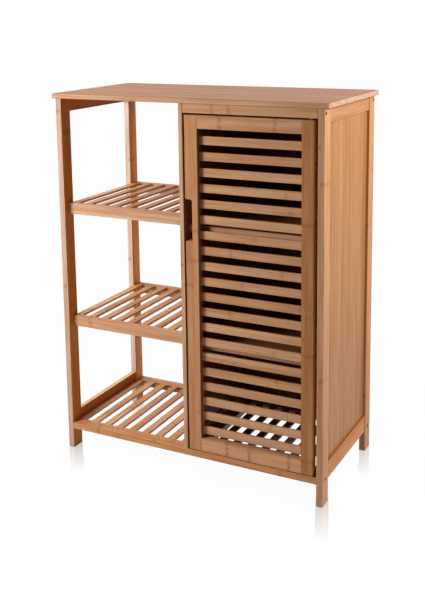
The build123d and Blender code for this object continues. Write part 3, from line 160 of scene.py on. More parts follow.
@dataclass(frozen=True)
class BambooFinish:
    """Strip bamboo, steamed to caramel, planed, sanded and given a thin satin lacquer.

    The eye gets straight pale and tan fibres, strips that differ a little in tone, hairline
    glue joints, and reddish knuckle bands where the cane had its nodes. Sizes are in millimetres.
    Real fibre bundles lie half a millimetre apart, and a real glue joint is a tenth of a
    millimetre wide. Both are too fine to show, so they are drawn as coarse as they need to be.
    """

    name: str
    pale: str = "c89970"
    tan: str = "a06a40"
    knuckle: str = "84482a"
    strip_width: float = 17.0
    strip_depth: float = 40.0
    # Where the strips start, in strips, across the face and through the thickness, and how far
    # each seed moves that on.
    strip_start: Span = (0.37, 0.41)
    seed_step: Span = (0.173, 0.131)
    fibre: float = 1.1
    fibre_length: float = 90.0
    # The broad shading under the fibres, as shares of their frequency.
    broad_share: Point = (0.11, 0.11, 0.5)
    strip_variation: float = 0.3
    knuckle_spacing: float = 430.0
    knuckle_width: float = 7.5
    knuckle_strength: float = 0.58
    # The far side of a knuckle's shade is wider than the near side by this much.
    far_side: float = 1.4
    # Half the width of a knuckle's dark line, where it starts to fade and where it ends.
    line_fade: Span = (0.3, 2.0)
    line_strength: float = 0.3
    # How far a knuckle strays from a straight line.
    wobble: float = 1.2
    # Strength of a knuckle that crosses a whole piece at a place of its own.
    placed_strength: float = 0.6
    # Size of the blotches in a knuckle, the noise at which they are faintest and fullest, and
    # what the faintest one keeps.
    blotch: float = 4.0
    blotch_noise: Span = (0.4, 0.62)
    blotch_least: float = 0.12
    joint_width: float = 0.5
    joint_strength: float = 0.22
    relief: float = 0.2
    relief_strength: float = 0.35
    roughness: float = 0.42
    roughness_spread: Span = (-0.05, 0.07)
    ior: float = 1.5
    sheen: str = "d8955a"
    sheen_level: float = 0.2
    coat: float = 0.05
    coat_roughness: float = 0.28
    # A piece's tone holds its own tone and painted light and shade; the faces' tones are painted
    # light and shade.
    tone: Tone = (1.0, 1.0, 1.0)
    faces: dict[str, Tone] = field(default_factory=dict)

    def toned(self, red: float, green: float, blue: float, **faces: Tone) -> "BambooFinish":
        """Scale this finish's colours for one piece: the bamboo's own tone and painted light and
        shade.

        Args:
            red: Share of the finish's red for this piece, in linear light.
            green: Share of its green.
            blue: Share of its blue.
            **faces: The same three shares for faces that look left, right, front, rear, under
                or top, where they differ: painted light on lit faces and painted shade on shaded
                    ones.

        Returns:
            The finish for this piece, with its painted light and shade.
        """
        return replace(self, tone=(red, green, blue), faces=faces)

    def scaled_by_tone(self, colour: str, tone: Tone) -> Colour:
        """Scale an sRGB hex colour by a tone, in linear light; face tones are painted light and
        shade.
        """
        red, green, blue = (value * share for value, share in zip(linear(colour), tone))
        return red, green, blue, 1.0

    def build(
        self, grain: Grain, seed: float = 0.0, knuckles: Sequence[float] = ()
    ) -> bpy.types.Material:
        """Make the material for one piece.

        Args:
            grain: The axis that the fibres run along.
            seed: A number that shifts this piece's pattern against the others'.
            knuckles: Places in millimetres along the grain where a knuckle crosses the piece.

        Returns:
            The lacquered bamboo material.
        """
        material, add = new_material(f"{self.name}_{grain.name.lower()}_{int(seed)}")
        place = add("TexCoord").outputs["Object"]
        split = add("SeparateXYZ", {0: place})
        along, across, depth = (split.outputs[index] for index in grain.value)
        counts, chances = self.strips(add, across, depth, seed)
        fine, broad = self.fibres(add, along, across, depth, chances[0])
        fine_tone, broad_tone = (
            add("MapRange", {0: noise, 1: NOISE_LOW, 2: NOISE_HIGH, 3: 0.0, 4: 0.5})
            for noise in (fine, broad)
        )
        mixed_tone = add("Math", {0: fine_tone, 1: broad_tone}, operation="ADD")
        spread = {1: self.strip_variation, 2: -self.strip_variation / 2}
        strip_tone = add("Math", {0: chances[1], **spread}, operation="MULTIPLY_ADD")
        tone = add("Math", {0: mixed_tone, 1: strip_tone}, operation="ADD", use_clamp=True)
        band = self.knuckle_bands(add, place, along, broad, chances[2], knuckles)
        joint = self.glue_joints(add, counts)
        colour = self.wood(add, tone)
        for mark in (band, joint):
            marked = {"Factor": mark, MIX_A: colour, MIX_B: linear(self.knuckle)}
            colour = add("Mix", marked, data_type="RGBA").outputs[MIX_RESULT]
        # Relief: fibres stand a little proud, and joints and knuckles sink.
        sunk = add("Math", {0: joint, 1: band}, operation="ADD")
        height = add("Math", {0: fine_tone, 1: sunk}, operation="SUBTRACT")
        heights = {"Strength": self.relief_strength, "Distance": self.relief * MM, "Height": height}
        bump = add("Bump", heights)
        smooth, coarse = (self.roughness + step for step in self.roughness_spread)
        rough = add("MapRange", {0: tone, 3: smooth, 4: coarse})
        # The gloss comes from the fibres below the thin lacquer, so it takes on their colour.
        shader = add("BsdfPrincipled", {
            "Base Color": colour, "Roughness": rough, "IOR": self.ior,
            "Specular IOR Level": self.sheen_level, "Specular Tint": linear(self.sheen),
            "Coat Weight": self.coat, "Coat Roughness": self.coat_roughness, "Normal": bump,
        })
        add("OutputMaterial", {"Surface": shader})
        return material

    def strips(
        self, add: Add, across: Socket, depth: Socket, seed: float
    ) -> tuple[list[Node], Sequence[Socket]]:
        """Count the strips across the face and through the thickness, and draw chances for each.

        A count is the place over the strip's size, plus a start that the seed moves. White noise
        on both counts, rounded down, and on the board's number gives a strip its chances.

        Args:
            add: Adds a node to the tree.
            across: Place across the face.
            depth: Place through the thickness.
            seed: The piece's own number.

        Returns:
            The two counts, and three sockets with a random value for each strip.
        """
        counts = []
        ways = zip((across, depth), (self.strip_width, self.strip_depth))
        for (place, size), start, step in zip(ways, self.strip_start, self.seed_step):
            values = {0: place, 1: 1 / (size * MM), 2: start + seed * step}
            counts.append(add("Math", values, operation="MULTIPLY_ADD"))
        numbers = [add("Math", {0: count}, operation="FLOOR") for count in counts]
        board = add("Attribute", attribute_name="board").outputs["Fac"]
        board_number = add("Math", {0: board, 1: BOARD_SPREAD, 2: seed}, operation="MULTIPLY_ADD")
        key = add("CombineXYZ", {0: numbers[0], 1: numbers[1], 2: board_number})
        noise = add("TexWhiteNoise", {0: key}, noise_dimensions="3D")
        return counts, add("SeparateColor", {0: noise.outputs["Color"]}).outputs

    def fibres(
        self, add: Add, along: Socket, across: Socket, depth: Socket, chance: Socket
    ) -> tuple[Node, Node]:
        """Draw out noise along the grain, once fine and once broad, and shift it on each strip.

        Args:
            add: Adds a node to the tree.
            along: Place along the grain.
            across: Place across the face.
            depth: Place through the thickness.
            chance: The strip's random value.

        Returns:
            The fine noise and the broad one.
        """
        wide, deep = (
            add("Math", {0: place, 1: 1 / (self.fibre * MM)}, operation="MULTIPLY")
            for place in (across, depth)
        )
        shift = add("Math", {0: chance, 1: SHIFT_SPREAD}, operation="MULTIPLY")
        lengthwise = {0: along, 1: 1 / (self.fibre_length * MM), 2: shift}
        long = add("Math", lengthwise, operation="MULTIPLY_ADD")
        drawn = add("CombineXYZ", {0: wide, 1: deep, 2: long})
        fine = add("TexNoise", {"Vector": drawn, "Scale": 1.0, "Detail": 3.0, "Roughness": 0.6})
        shares = {0: drawn, 1: self.broad_share}
        stretched = add("VectorMath", shares, operation="MULTIPLY")
        soft = {"Scale": 1.0, "Detail": 2.0, "Roughness": 0.5}
        return fine, add("TexNoise", {"Vector": stretched, **soft})

    def wood(self, add: Add, tone: Node) -> Socket:
        """Mix pale and tan cane, and give faces that look one way a tone of painted light and
        shade.

        Args:
            add: Adds a node to the tree.
            tone: How tan the cane is, from nought to one.

        Returns:
            The wood's colour, with painted light and shade on faces that look one way.
        """
        colours = {MIX_A: self.scaled_by_tone(self.pale, self.tone), MIX_B: self.scaled_by_tone(self.tan, self.tone)}
        wood = add("Mix", {"Factor": tone, **colours}, data_type="RGBA")
        # Faces that look one way get their own tone: painted highlight on lit fronts, painted shade
        # on inner and recessed sides.
        for side, face_light in self.faces.items():
            axis, sign = Facing[side.upper()].value
            normal = add("TexCoord").outputs["Normal"]
            towards = add("SeparateXYZ", {0: normal}).outputs[axis]
            limits = {1: FACE_START * sign, 2: FACE_FULL * sign}
            share = add("MapRange", {0: towards, **limits})
            colours = {MIX_A: self.scaled_by_tone(self.pale, face_light), MIX_B: self.scaled_by_tone(self.tan, face_light)}
            own = add("Mix", {"Factor": tone, **colours}, data_type="RGBA")
            both = {MIX_A: wood.outputs[MIX_RESULT], MIX_B: own.outputs[MIX_RESULT]}
            wood = add("Mix", {"Factor": share, **both}, data_type="RGBA")
        return wood.outputs[MIX_RESULT]

    def knuckle_bands(
        self, add: Add, place: Socket, along: Socket, broad: Node, chance: Socket,
        knuckles: Sequence[float],
    ) -> Node:
        """Draw the knuckles: those of each strip at its own places, and those across the piece.

        The fraction of the wavy place over the spacing, less a half, is the distance from the
        strip's own knuckle. Blotches break all of them up.

        Args:
            add: Adds a node to the tree.
            place: Place in the object.
            along: Place along the grain.
            broad: The broad noise, which bends the knuckles.
            chance: The strip's random value, which moves its knuckles.
            knuckles: Places in millimetres along the grain of the knuckles across the piece.

        Returns:
            How much of the knuckle's colour shows, from nought to one.
        """
        sizes = {0: place, 1: (1 / (self.blotch * MM),) * 3}
        blotch_place = add("VectorMath", sizes, operation="MULTIPLY")
        ragged = {"Scale": 1.0, "Detail": 2.0, "Roughness": 0.6}
        blotch = add("TexNoise", {"Vector": blotch_place, **ragged})
        faint, full = self.blotch_noise
        mottle = add("MapRange", {0: blotch, 1: faint, 2: full, 3: self.blotch_least, 4: 1.0})
        bends = {3: -self.wobble * MM, 4: self.wobble * MM}
        bend = add("MapRange", {0: broad, 1: NOISE_LOW, 2: NOISE_HIGH, **bends})
        wavy = add("Math", {0: along, 1: bend}, operation="ADD")
        spacing = self.knuckle_spacing * MM
        turns = add("Math", {0: wavy, 1: 1 / spacing, 2: chance}, operation="MULTIPLY_ADD")
        turn = add("Math", {0: turns}, operation="FRACT")
        away = add("Math", {0: turn, 1: spacing, 2: -spacing / 2}, operation="MULTIPLY_ADD")
        band = self.knuckle_mark(add, away, mottle, self.knuckle_strength)
        for spot in knuckles:
            away = add("Math", {0: wavy, 1: spot * MM}, operation="SUBTRACT")
            mark = self.knuckle_mark(add, away, mottle, self.placed_strength)
            band = add("Math", {0: band, 1: mark}, operation="MAXIMUM")
        return band

    def knuckle_mark(self, add: Add, away: Node, mottle: Node, strength: float) -> Node:
        """Draw one knuckle: a fine dark line in a soft shade that dies out slower beyond it.

        Args:
            add: Adds a node to the tree.
            away: Signed distance from the knuckle along the grain.
            mottle: The blotches' share.
            strength: How dark the knuckle is.

        Returns:
            The knuckle's share of colour.
        """
        near, far = -self.knuckle_width * MM, self.far_side * self.knuckle_width * MM
        rise, fall = (
            add("MapRange", {0: away, **limits}, interpolation_type="SMOOTHSTEP")
            for limits in ({1: near, 2: 0.0, 3: 0.0, 4: 1.0}, {1: 0.0, 2: far, 3: 1.0, 4: 0.0})
        )
        shade = add("Math", {0: rise, 1: fall}, operation="MULTIPLY")
        off = add("Math", {0: away}, operation="ABSOLUTE")
        start, end = (size * MM for size in self.line_fade)
        limits = {1: start, 2: end, 3: self.line_strength, 4: 0.0}
        line = add("MapRange", {0: off, **limits}, interpolation_type="SMOOTHSTEP")
        both = add("Math", {0: shade, 1: line}, operation="ADD")
        broken = add("Math", {0: both, 1: mottle}, operation="MULTIPLY")
        return add("Math", {0: broken, 1: strength}, operation="MULTIPLY", use_clamp=True)

    def glue_joints(self, add: Add, counts: Sequence[Node]) -> Node:
        """Draw a hairline where a count of strips passes a whole number.

        The fraction of the count, less a half, is furthest from nought at the joint.

        Args:
            add: Adds a node to the tree.
            counts: The counts across the face and through the thickness.

        Returns:
            How much of the joint's colour shows.
        """
        lines = []
        for count, width in zip(counts, (self.strip_width, self.strip_depth)):
            part = add("Math", {0: count}, operation="FRACT")
            middle = add("Math", {0: part, 1: 0.5}, operation="SUBTRACT")
            edge = add("Math", {0: middle}, operation="ABSOLUTE")
            limits = {1: 0.5 - self.joint_width / width, 2: 0.5, 3: 0.0, 4: self.joint_strength}
            lines.append(add("MapRange", {0: edge, **limits}))
        return add("Math", {0: lines[0], 1: lines[1]}, operation="MAXIMUM")


@dataclass(frozen=True)
class FittingFinish:
    """Metal or nylon with a fine grain, which its gloss and its relief follow.

    Zinc plate gives the eye a pale, soft gloss and black oxide a dark one; tumbled steel is dull
    and grey, and moulded nylon keeps the mould's spark texture. The real grain is a tenth of a
    millimetre at most, and is drawn coarser so that it shows. Sizes are in millimetres.
    """

    name: str
    colour: str
    roughness: float = 0.35
    roughness_spread: Span = (-0.1, 0.1)
    metallic: float = 1.0
    ior: float = 1.5
    grit: float = 0.6
    detail: float = 2.0
    relief: float = 0.1
    relief_strength: float = 0.2

    def build(self) -> bpy.types.Material:
        """Make the material, with roughness and relief from one fine noise.

        Returns:
            The fitting's material.
        """
        material, add = new_material(self.name)
        place = add("TexCoord").outputs["Object"]
        sizes = {"Scale": 1 / (self.grit * MM), "Detail": self.detail}
        noise = add("TexNoise", {"Vector": place, **sizes})
        smooth, coarse = (self.roughness + step for step in self.roughness_spread)
        rough = add("MapRange", {0: noise, 3: smooth, 4: coarse})
        height = {"Strength": self.relief_strength, "Distance": self.relief * MM, "Height": noise}
        shader = add("BsdfPrincipled", {
            "Base Color": linear(self.colour), "Metallic": self.metallic, "Roughness": rough,
            "IOR": self.ior, "Normal": add("Bump", height),
        })
        add("OutputMaterial", {"Surface": shader})
        return material


def rounded_outline(
    low: Sequence[float], high: Sequence[float], radius: float, steps: int = 3
) -> np.ndarray:
    """Work out a rectangle with rounded corners, anticlockwise.

    Each corner is a quarter circle: its centre is inset by the radius, and its angle runs
    through 90 degrees in equal steps.

    Args:
        low: Lowest corner in millimetres.
        high: Highest corner in millimetres.
        radius: Corner radius in millimetres.
        steps: Segments in each quarter circle.

    Returns:
        The outline's points, one row each.
    """
    turn = np.linspace(0, math.pi / 2, steps + 1)
    angles = (np.arange(4)[:, None] * math.pi / 2 + turn[None, :]).ravel()
    centres = np.array(
        [[high[0], high[1]], [low[0], high[1]], [low[0], low[1]], [high[0], low[1]]], float
    )
    inward = np.array([[-1, -1], [1, -1], [1, 1], [-1, 1]], float) * radius
    spokes = radius * np.stack([np.cos(angles), np.sin(angles)], -1)
    return np.repeat(centres + inward, steps + 1, axis=0) + spokes


def eased_prism(
    outline: np.ndarray, carried: Carried, low: float, high: float, ease: float, steps: int = 3
) -> Surface:
    """Carry an outline along an axis and ease the edges of its two ends.

    At each end the outline moves inwards by ease times one minus the sine of an angle while it
    travels ease times one minus its cosine, which is a quarter circle. A point moves inwards
    along the mitre of the two sides that meet there.

    Args:
        outline: Anticlockwise outline in millimetres, in the two axes that carried names.
        carried: The axis that the outline is carried along.
        low: Where the prism starts, in millimetres.
        high: Where it ends.
        ease: Radius of the eased end edges.
        steps: Segments in each quarter circle.

    Returns:
        Vertices in metres, and faces as lists of vertex numbers.
    """
    ahead = np.roll(outline, -1, 0) - outline
    ahead /= np.linalg.norm(ahead, axis=1, keepdims=True)
    behind = np.roll(ahead, 1, 0)
    sides = np.stack([-(ahead[:, 1] + behind[:, 1]), ahead[:, 0] + behind[:, 0]], -1)
    mitre = sides / (1 + np.sum(ahead * behind, -1, keepdims=True))
    angle = np.linspace(0, math.pi / 2, steps + 1)
    inwards, onwards = ease * (1 - np.sin(angle)), ease * (1 - np.cos(angle))
    inset = np.concatenate([inwards, inwards[::-1]])
    travel = np.concatenate([low + onwards, (high - onwards)[::-1]])
    across, size = carried.value[1:], len(outline)
    points = np.zeros((len(inset), size, 3))
    points[..., across] = outline[None] + inset[:, None, None] * mitre[None]
    points[..., carried.value[0]] = travel[:, None]
    ring, spot = np.meshgrid(np.arange(len(inset) - 1), np.arange(size), indexing="ij")
    here = ring * size + spot
    right = ring * size + (spot + 1) % size
    walls = np.stack([here, right, right + size, here + size], -1).reshape(-1, 4).tolist()
    ends = [list(range(size))[::-1], list(range((len(inset) - 1) * size, len(inset) * size))]
    return points.reshape(-1, 3) * MM, walls + ends


def board(
    low: Sequence[float], high: Sequence[float], carried: Carried, corner: float = 0.9,
    ease: float = 0.6,
) -> Surface:
    """Work out one straight board with rounded long edges and eased ends, in millimetres.

    Args:
        low: The board's lowest corner.
        high: Its highest corner.
        carried: The axis of its long edges.
        corner: Radius of the long edges.
        ease: Radius of the eased end edges.

    Returns:
        The board's vertices and faces.
    """
    along, first, second = carried.value
    outline = rounded_outline((low[first], low[second]), (high[first], high[second]), corner)
    return eased_prism(outline, carried, low[along], high[along], ease)


def strip_panel(low: Point, high: Point, axis: int, count: int, width: float) -> list[Surface]:
    """Stand upright strips side by side from one edge of a panel to the other.

    Args:
        low: The panel's lowest corner in millimetres.
        high: Its highest corner.
        axis: The row axis that the strips are set out along.
        count: How many strips there are.
        width: A strip's width.

    Returns:
        Each strip's vertices and faces.
    """
    strips = []
    for edge in np.linspace(low[axis], high[axis] - width, count):
        near, far = list(low), list(high)
        near[axis], far[axis] = edge, edge + width
        strips.append(board(near, far, Carried.Z, corner=0.25, ease=0.2))
    return strips


def slat_row(
    edges: Sequence[float], width: float, span: Span, top: float, thickness: float
) -> list[Surface]:
    """Lay slats from front to back, let in a little at both ends.

    Args:
        edges: Where each slat's left edge is, in millimetres.
        width: A slat's width.
        span: Where the front and the rear rail's inner faces are.
        top: Height of the slats' upper faces.
        thickness: A slat's thickness.

    Returns:
        Each slat's vertices and faces.
    """
    front, rear = span[0] - LET_IN, span[1] + LET_IN
    return [
        board(
            (edge, front, top - thickness), (edge + width, rear, top), Carried.Y, corner=0.8,
            ease=0.1,
        )
        for edge in edges
    ]


def make_piece(
    name: str, surfaces: Sequence[Surface], material: bpy.types.Material,
    replaced: Sequence[str], body: str = "cabinet",
) -> bpy.types.Object:
    """Join surfaces into one piece, number its boards and hang it on the frame.

    The boards' numbers are the fractions of a golden share's multiples, so that neighbours differ.

    Args:
        name: The piece's name.
        surfaces: Vertices and faces of each board in the piece.
        material: The material of the whole piece.
        replaced: CAD nodes that the piece stands for.
        body: The CAD body that it rides on.

    Returns:
        The finished object, at the origin.
    """
    sizes = [len(points) for points, _ in surfaces]
    starts = np.cumsum([0, *sizes])
    faces = [
        [corner + start for corner in face]
        for (_, part), start in zip(surfaces, starts) for face in part
    ]
    mesh = bpy.data.meshes.new(name)
    mesh.from_pydata(np.concatenate([points for points, _ in surfaces]).tolist(), [], faces)
    numbers = np.repeat(np.modf(np.arange(len(surfaces)) * GOLDEN_SHARE)[0], sizes)
    attribute = mesh.attributes.new("board", "FLOAT", "POINT")
    attribute.data.foreach_set("value", numbers.astype(np.float32))
    mesh.materials.append(material)
    mesh.polygons.foreach_set("use_smooth", np.ones(len(mesh.polygons), bool))
    mesh.update()
    piece = bpy.data.objects.new(name, mesh)
    bpy.context.scene.collection.objects.link(piece)
    # Normals weighted by face area keep the flats flat beside their rounded edges.
    piece.modifiers.new("flat faces", "WEIGHTED_NORMAL").keep_sharp = True
    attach(piece, body)
    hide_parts(*replaced)
    log.info("%s: %d boards, %d faces, on %s", name, len(surfaces), len(mesh.polygons), body)
    return piece


def dress(node: str, material: bpy.types.Material) -> None:
    """Give a CAD node that keeps its shape its finish.

    Args:
        node: The CAD node's name.
        material: The finish.
    """
    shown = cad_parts[node]
    shown.data.materials.clear()
    shown.data.materials.append(material)
    log.info("%s: keeps its solid, finish %s", node, material.name)


TIMBER = BambooFinish("laminated_bamboo")
SHEET = BambooFinish(
    "strip_bamboo_panel", pale="b98352", tan="935a2e", strip_width=16.0, strip_variation=0.35,
    knuckle_strength=0.25,
)
SLATS = BambooFinish("bamboo_slat", strip_width=60.0, knuckle_strength=0.48)
TOP = BambooFinish(
    "lacquered_bamboo_top", strip_width=19.0, strip_variation=0.2, knuckle_strength=0.2,
    sheen_level=0.05, coat=0.16,
)


@dataclass
class TopBoard:
    """The thin top: edge-glued strips with rounded corners and softened edges, in millimetres."""

    half_width: float = 350.0
    half_depth: float = 171.0
    low: float = 882.0
    high: float = 894.0
    corner: float = 6.0
    corner_steps: int = 6
    edge: float = 3.0
    edge_steps: int = 5
    tone: Tone = (0.68, 0.525, 0.35)
    # The ends and the long edges are painted paler and bluer, as light from the side lamps and a
    # highlight from the front lamp.
    end_light_tone: Tone = (0.85, 1.05, 1.55)
    long_edge_light: Tone = (0.96, 1.08, 1.32)

    def build(self) -> None:
        """Carry the rounded outline up through the thickness and dress it."""
        half = np.array([self.half_width, self.half_depth])
        outline = rounded_outline(-half, half, self.corner, self.corner_steps)
        surface = eased_prism(outline, Carried.Z, self.low, self.high, self.edge, self.edge_steps)
        finish = TOP.toned(
            *self.tone, left=self.end_light_tone, right=self.end_light_tone, front=self.long_edge_light,
            rear=self.long_edge_light,
        )
        material = finish.build(Grain.ALONG_X, seed=3)
        make_piece("cabinet_top", [surface], material, ["top_board"])


@dataclass
class Carcass:
    """Legs, side rails, panels, partition and back, sizes in millimetres."""

    leg_inner_y: float = 131.0
    rail_x: Span = (326.0, 338.0)
    rails: dict[str, Span] = field(
        default_factory=lambda: {"bottom": (51.0, 91.0), "top": (849.0, 882.0)}
    )
    rail_ease: float = 0.15
    panel_x: Span = (328.0, 333.0)
    panel_z: Span = (86.3, 853.7)
    panel_half_depth: float = 135.7
    panel_strips: int = 17
    panel_strip: float = 15.96
    partition_x: Span = (-6.2, 4.2)
    partition_panel_x: Span = (-3.0, 1.0)
    partition_rails: dict[str, Span] = field(
        default_factory=lambda: {"bottom": (67.0, 91.0), "top": (858.0, 882.0)}
    )
    partition_panel_z: Span = (87.3, 861.7)
    partition_half_depth: float = 134.7
    partition_strips: int = 16
    back_x: Span = (0.5, 328.2)
    back_y: Span = (163.0, 167.0)
    back_z: Span = (63.3, 864.7)
    back_strips: int = 20

    def build(self) -> None:
        """Build and dress every fixed frame member."""
        self.dress_members()
        self.side_rails()
        self.panels()
        self.partition()

    def dress_members(self) -> None:
        """Dress the legs, the posts and the cross rails, which keep their bored solids."""
        # Painted light and shade: the left legs' right faces, inside the open bay, are painted in
        # deep shade, and their fronts paler and bluer as a highlight from the front lamp; the front
        # post's right face and the whole rear post are painted darker as shade inside the cabinet.
        uprights = {
            "left_front_leg": TIMBER.toned(
                1.1, 1.05, 0.95, right=(1.11, 0.77, 0.12), front=(1.0, 1.3, 2.02)
            ),
            "left_rear_leg": TIMBER.toned(
                1.1, 1.05, 0.95, right=(1.42, 1.22, 0.82), front=(1.33, 1.99, 3.3)
            ),
            "right_front_leg": TIMBER.toned(
                0.95, 0.95, 0.93, right=(0.87, 0.84, 0.77), front=(0.93, 0.95, 1.12)
            ),
            "right_rear_leg": TIMBER.toned(0.87, 0.82, 0.7, right=(0.77, 0.68, 0.53)),
            "partition_front_post": TIMBER.toned(
                0.85, 0.75, 0.6, right=(0.5, 0.4, 0.3), front=(1.09, 1.29, 1.72)
            ),
            "partition_rear_post": TIMBER.toned(0.65, 0.55, 0.45),
        }
        for seed, (node, finish) in enumerate(uprights.items(), start=5):
            dress(node, finish.build(Grain.ALONG_Z, seed))
        cross_rails = (
            ("bottom_front_rail", TIMBER.toned(1.04, 0.95, 0.85), (-252.0,)),
            ("bottom_rear_rail", TIMBER, ()),
            ("rear_top_rail", TIMBER, ()),
            ("front_apron", TIMBER.toned(0.95, 0.97, 1.04), (118.0,)),
        )
        for seed, (node, finish, knuckles) in enumerate(cross_rails, start=15):
            dress(node, finish.build(Grain.ALONG_X, seed, knuckles))

    def side_rails(self) -> None:
        """Build the four side rails between the legs."""
        # Painted light and shade: the left rails' right faces are painted darker and redder as
        # shade, the left bottom rail's top paler as light, and the right bottom rail's ledge under
        # the panel darker as shade.
        finishes = {
            "left_bottom": TIMBER.toned(
                1.1, 1.05, 0.95, right=(1.0, 0.77, 0.34), top=(1.25, 1.3, 1.4)
            ),
            "left_top": TIMBER.toned(1.1, 1.05, 0.95, right=(1.05, 0.71, 0.02)),
            "right_bottom": TIMBER.toned(0.91, 0.67, 0.31, top=(0.7, 0.5, 0.28)),
            "right_top": TIMBER.toned(0.71, 0.63, 0.51),
        }
        for side, sign, first_seed in (("left", -1, 19), ("right", 1, 23)):
            span_x = sorted(sign * x for x in self.rail_x)
            for seed, (level, span_z) in enumerate(self.rails.items(), start=first_seed):
                self.rail(
                    f"{side}_{level}_side_rail", span_x, span_z,
                    finishes[f"{side}_{level}"].build(Grain.ALONG_Y, seed), f"{side}_{level}_rail",
                )

    def rail(
        self, name: str, span_x: Sequence[float], span_z: Span, material: bpy.types.Material,
        node: str,
    ) -> None:
        """Build one rail from a front leg or post to the rear one.

        Args:
            name: The piece's name.
            span_x: Where its left and right faces are.
            span_z: Where its lower and upper faces are.
            material: Its finish.
            node: The CAD node that it stands for.
        """
        low = (span_x[0], -self.leg_inner_y, span_z[0])
        high = (span_x[1], self.leg_inner_y, span_z[1])
        rail = board(low, high, Carried.Y, ease=self.rail_ease)
        make_piece(name, [rail], material, [node])

    def panels(self) -> None:
        """Build the right side panel and the back panel from upright strips."""
        low = (self.panel_x[0], -self.panel_half_depth, self.panel_z[0])
        high = (self.panel_x[1], self.panel_half_depth, self.panel_z[1])
        side = strip_panel(low, high, 1, self.panel_strips, self.panel_strip)
        material = SHEET.toned(0.81, 0.83, 0.75).build(Grain.ALONG_Z, seed=31)
        make_piece("right_panel_strips", side, material, ["right_side_panel"])
        low, high = zip(self.back_x, self.back_y, self.back_z)
        width = (self.back_x[1] - self.back_x[0]) / self.back_strips
        back = strip_panel(low, high, 0, self.back_strips, width)
        # The back's strips are painted darker as shade inside the cabinet, and their rear faces
        # nearly at the bamboo's own tone.
        finish = SHEET.toned(0.4, 0.32, 0.26, rear=(0.9, 0.88, 0.85))
        material = finish.build(Grain.ALONG_Z, seed=32)
        make_piece("back_panel_strips", back, material, ["back_panel"])

    def partition(self) -> None:
        """Build the partition's two rails and its strip panel."""
        for seed, (level, span_z) in enumerate(self.partition_rails.items(), start=33):
            self.rail(
                f"partition_{level}_cross_rail", self.partition_x, span_z,
                TIMBER.build(Grain.ALONG_Y, seed), f"partition_{level}_rail",
            )
        half = self.partition_half_depth
        low, high = zip(self.partition_panel_x, (-half, half), self.partition_panel_z)
        strips = strip_panel(low, high, 1, self.partition_strips, 2 * half / self.partition_strips)
        # The panel's right face, inside the cupboard, is painted darker as shade.
        finish = SHEET.toned(0.8, 0.75, 0.7, right=(0.55, 0.48, 0.42))
        material = finish.build(Grain.ALONG_Z, seed=35)
        make_piece("partition_panel_strips", strips, material, ["partition_panel"])


@dataclass
class OpenShelf:
    """One open shelf: two rails on edge with nine thin slats let in flush between them."""

    name: str
    top: float
    seed: int
    edge_tone: Tone
    left: float = -324.5
    right: float = -6.2
    front: Span = (-150.5, -136.5)
    rear: Span = (150.0, 164.0)
    height: float = 26.5
    corner: float = 1.2
    ease: float = 0.15
    slat: float = 18.6
    thickness: float = 5.0
    end_gap: float = 1.85
    count: int = 9
    slat_finish: BambooFinish = replace(SLATS, sheen_level=0.1).toned(1.02, 1.0, 0.92)

    def build(self) -> None:
        """Build the rails and the slats of this shelf."""
        finish = TIMBER.toned(*self.edge_tone)
        sides = (("front", self.front), ("rear", self.rear))
        for seed, (side, (low_y, high_y)) in enumerate(sides, start=self.seed):
            low = (self.left, low_y, self.top - self.height)
            rail = board(low, (self.right, high_y, self.top), Carried.X, self.corner, self.ease)
            make_piece(
                f"{self.name}_{side}_edge", [rail], finish.build(Grain.ALONG_X, seed),
                [f"{self.name}_{side}_rail"],
            )
        edges = np.linspace(
            self.left + self.end_gap, self.right - self.end_gap - self.slat, self.count
        )
        slats = slat_row(edges, self.slat, (self.front[1], self.rear[0]), self.top, self.thickness)
        material = self.slat_finish.build(Grain.ALONG_Y, self.seed + len(sides))
        make_piece(f"{self.name}_slat_row", slats, material, [f"{self.name}_slats"])


@dataclass
class SlattedBottom:
    """The bottom: slats in two fields with a wide bearer between them under the partition."""

    top: float = 67.0
    thickness: float = 5.0
    slat: float = 19.0
    pitch: float = 36.8
    first: float = -324.5
    centre: float = -1.0
    count: int = 8
    bearer: float = 58.2
    bearer_height: float = 16.0
    half_span: float = 138.0

    def build(self) -> None:
        """Build the slat fields and the bearer."""
        left = self.first + self.pitch * np.arange(self.count)
        edges = np.concatenate([left, 2 * self.centre - left - self.slat])
        span = (-self.half_span, self.half_span)
        slats = slat_row(edges, self.slat, span, self.top, self.thickness)
        material = SLATS.build(Grain.ALONG_Y, seed=61)
        make_piece("bottom_slat_row", slats, material, ["bottom_slats"])
        half, reach = self.bearer / 2, self.half_span + LET_IN
        low = (self.centre - half, -reach, self.top - self.bearer_height)
        bearer = board(low, (self.centre + half, reach, self.top), Carried.Y, ease=0.1)
        make_piece(
            "bottom_bearer", [bearer], TIMBER.build(Grain.ALONG_Y, seed=62),
            ["bottom_middle_bearer"],
        )


@dataclass
class CupboardShelves:
    """The two flat shelves behind the door, lying on pins."""

    tops: Span = (603.0, 323.5)
    thickness: float = 13.0
    low: Span = (5.2, -143.0)
    high: Span = (323.5, 150.0)
    corner: float = 1.2
    # The front edges, seen between the door's slats, are painted paler and bluer as light.
    finish: BambooFinish = SHEET.toned(0.9, 0.9, 0.9, front=(1.25, 1.58, 2.7))

    def build(self) -> None:
        """Build both boards."""
        for name, top, seed in zip(("upper", "lower"), self.tops, (71, 72)):
            low, high = (*self.low, top - self.thickness), (*self.high, top)
            shelf = board(low, high, Carried.X, self.corner)
            make_piece(
                f"cupboard_{name}_shelf", [shelf], self.finish.build(Grain.ALONG_X, seed),
                [f"inner_{name}_shelf"],
            )


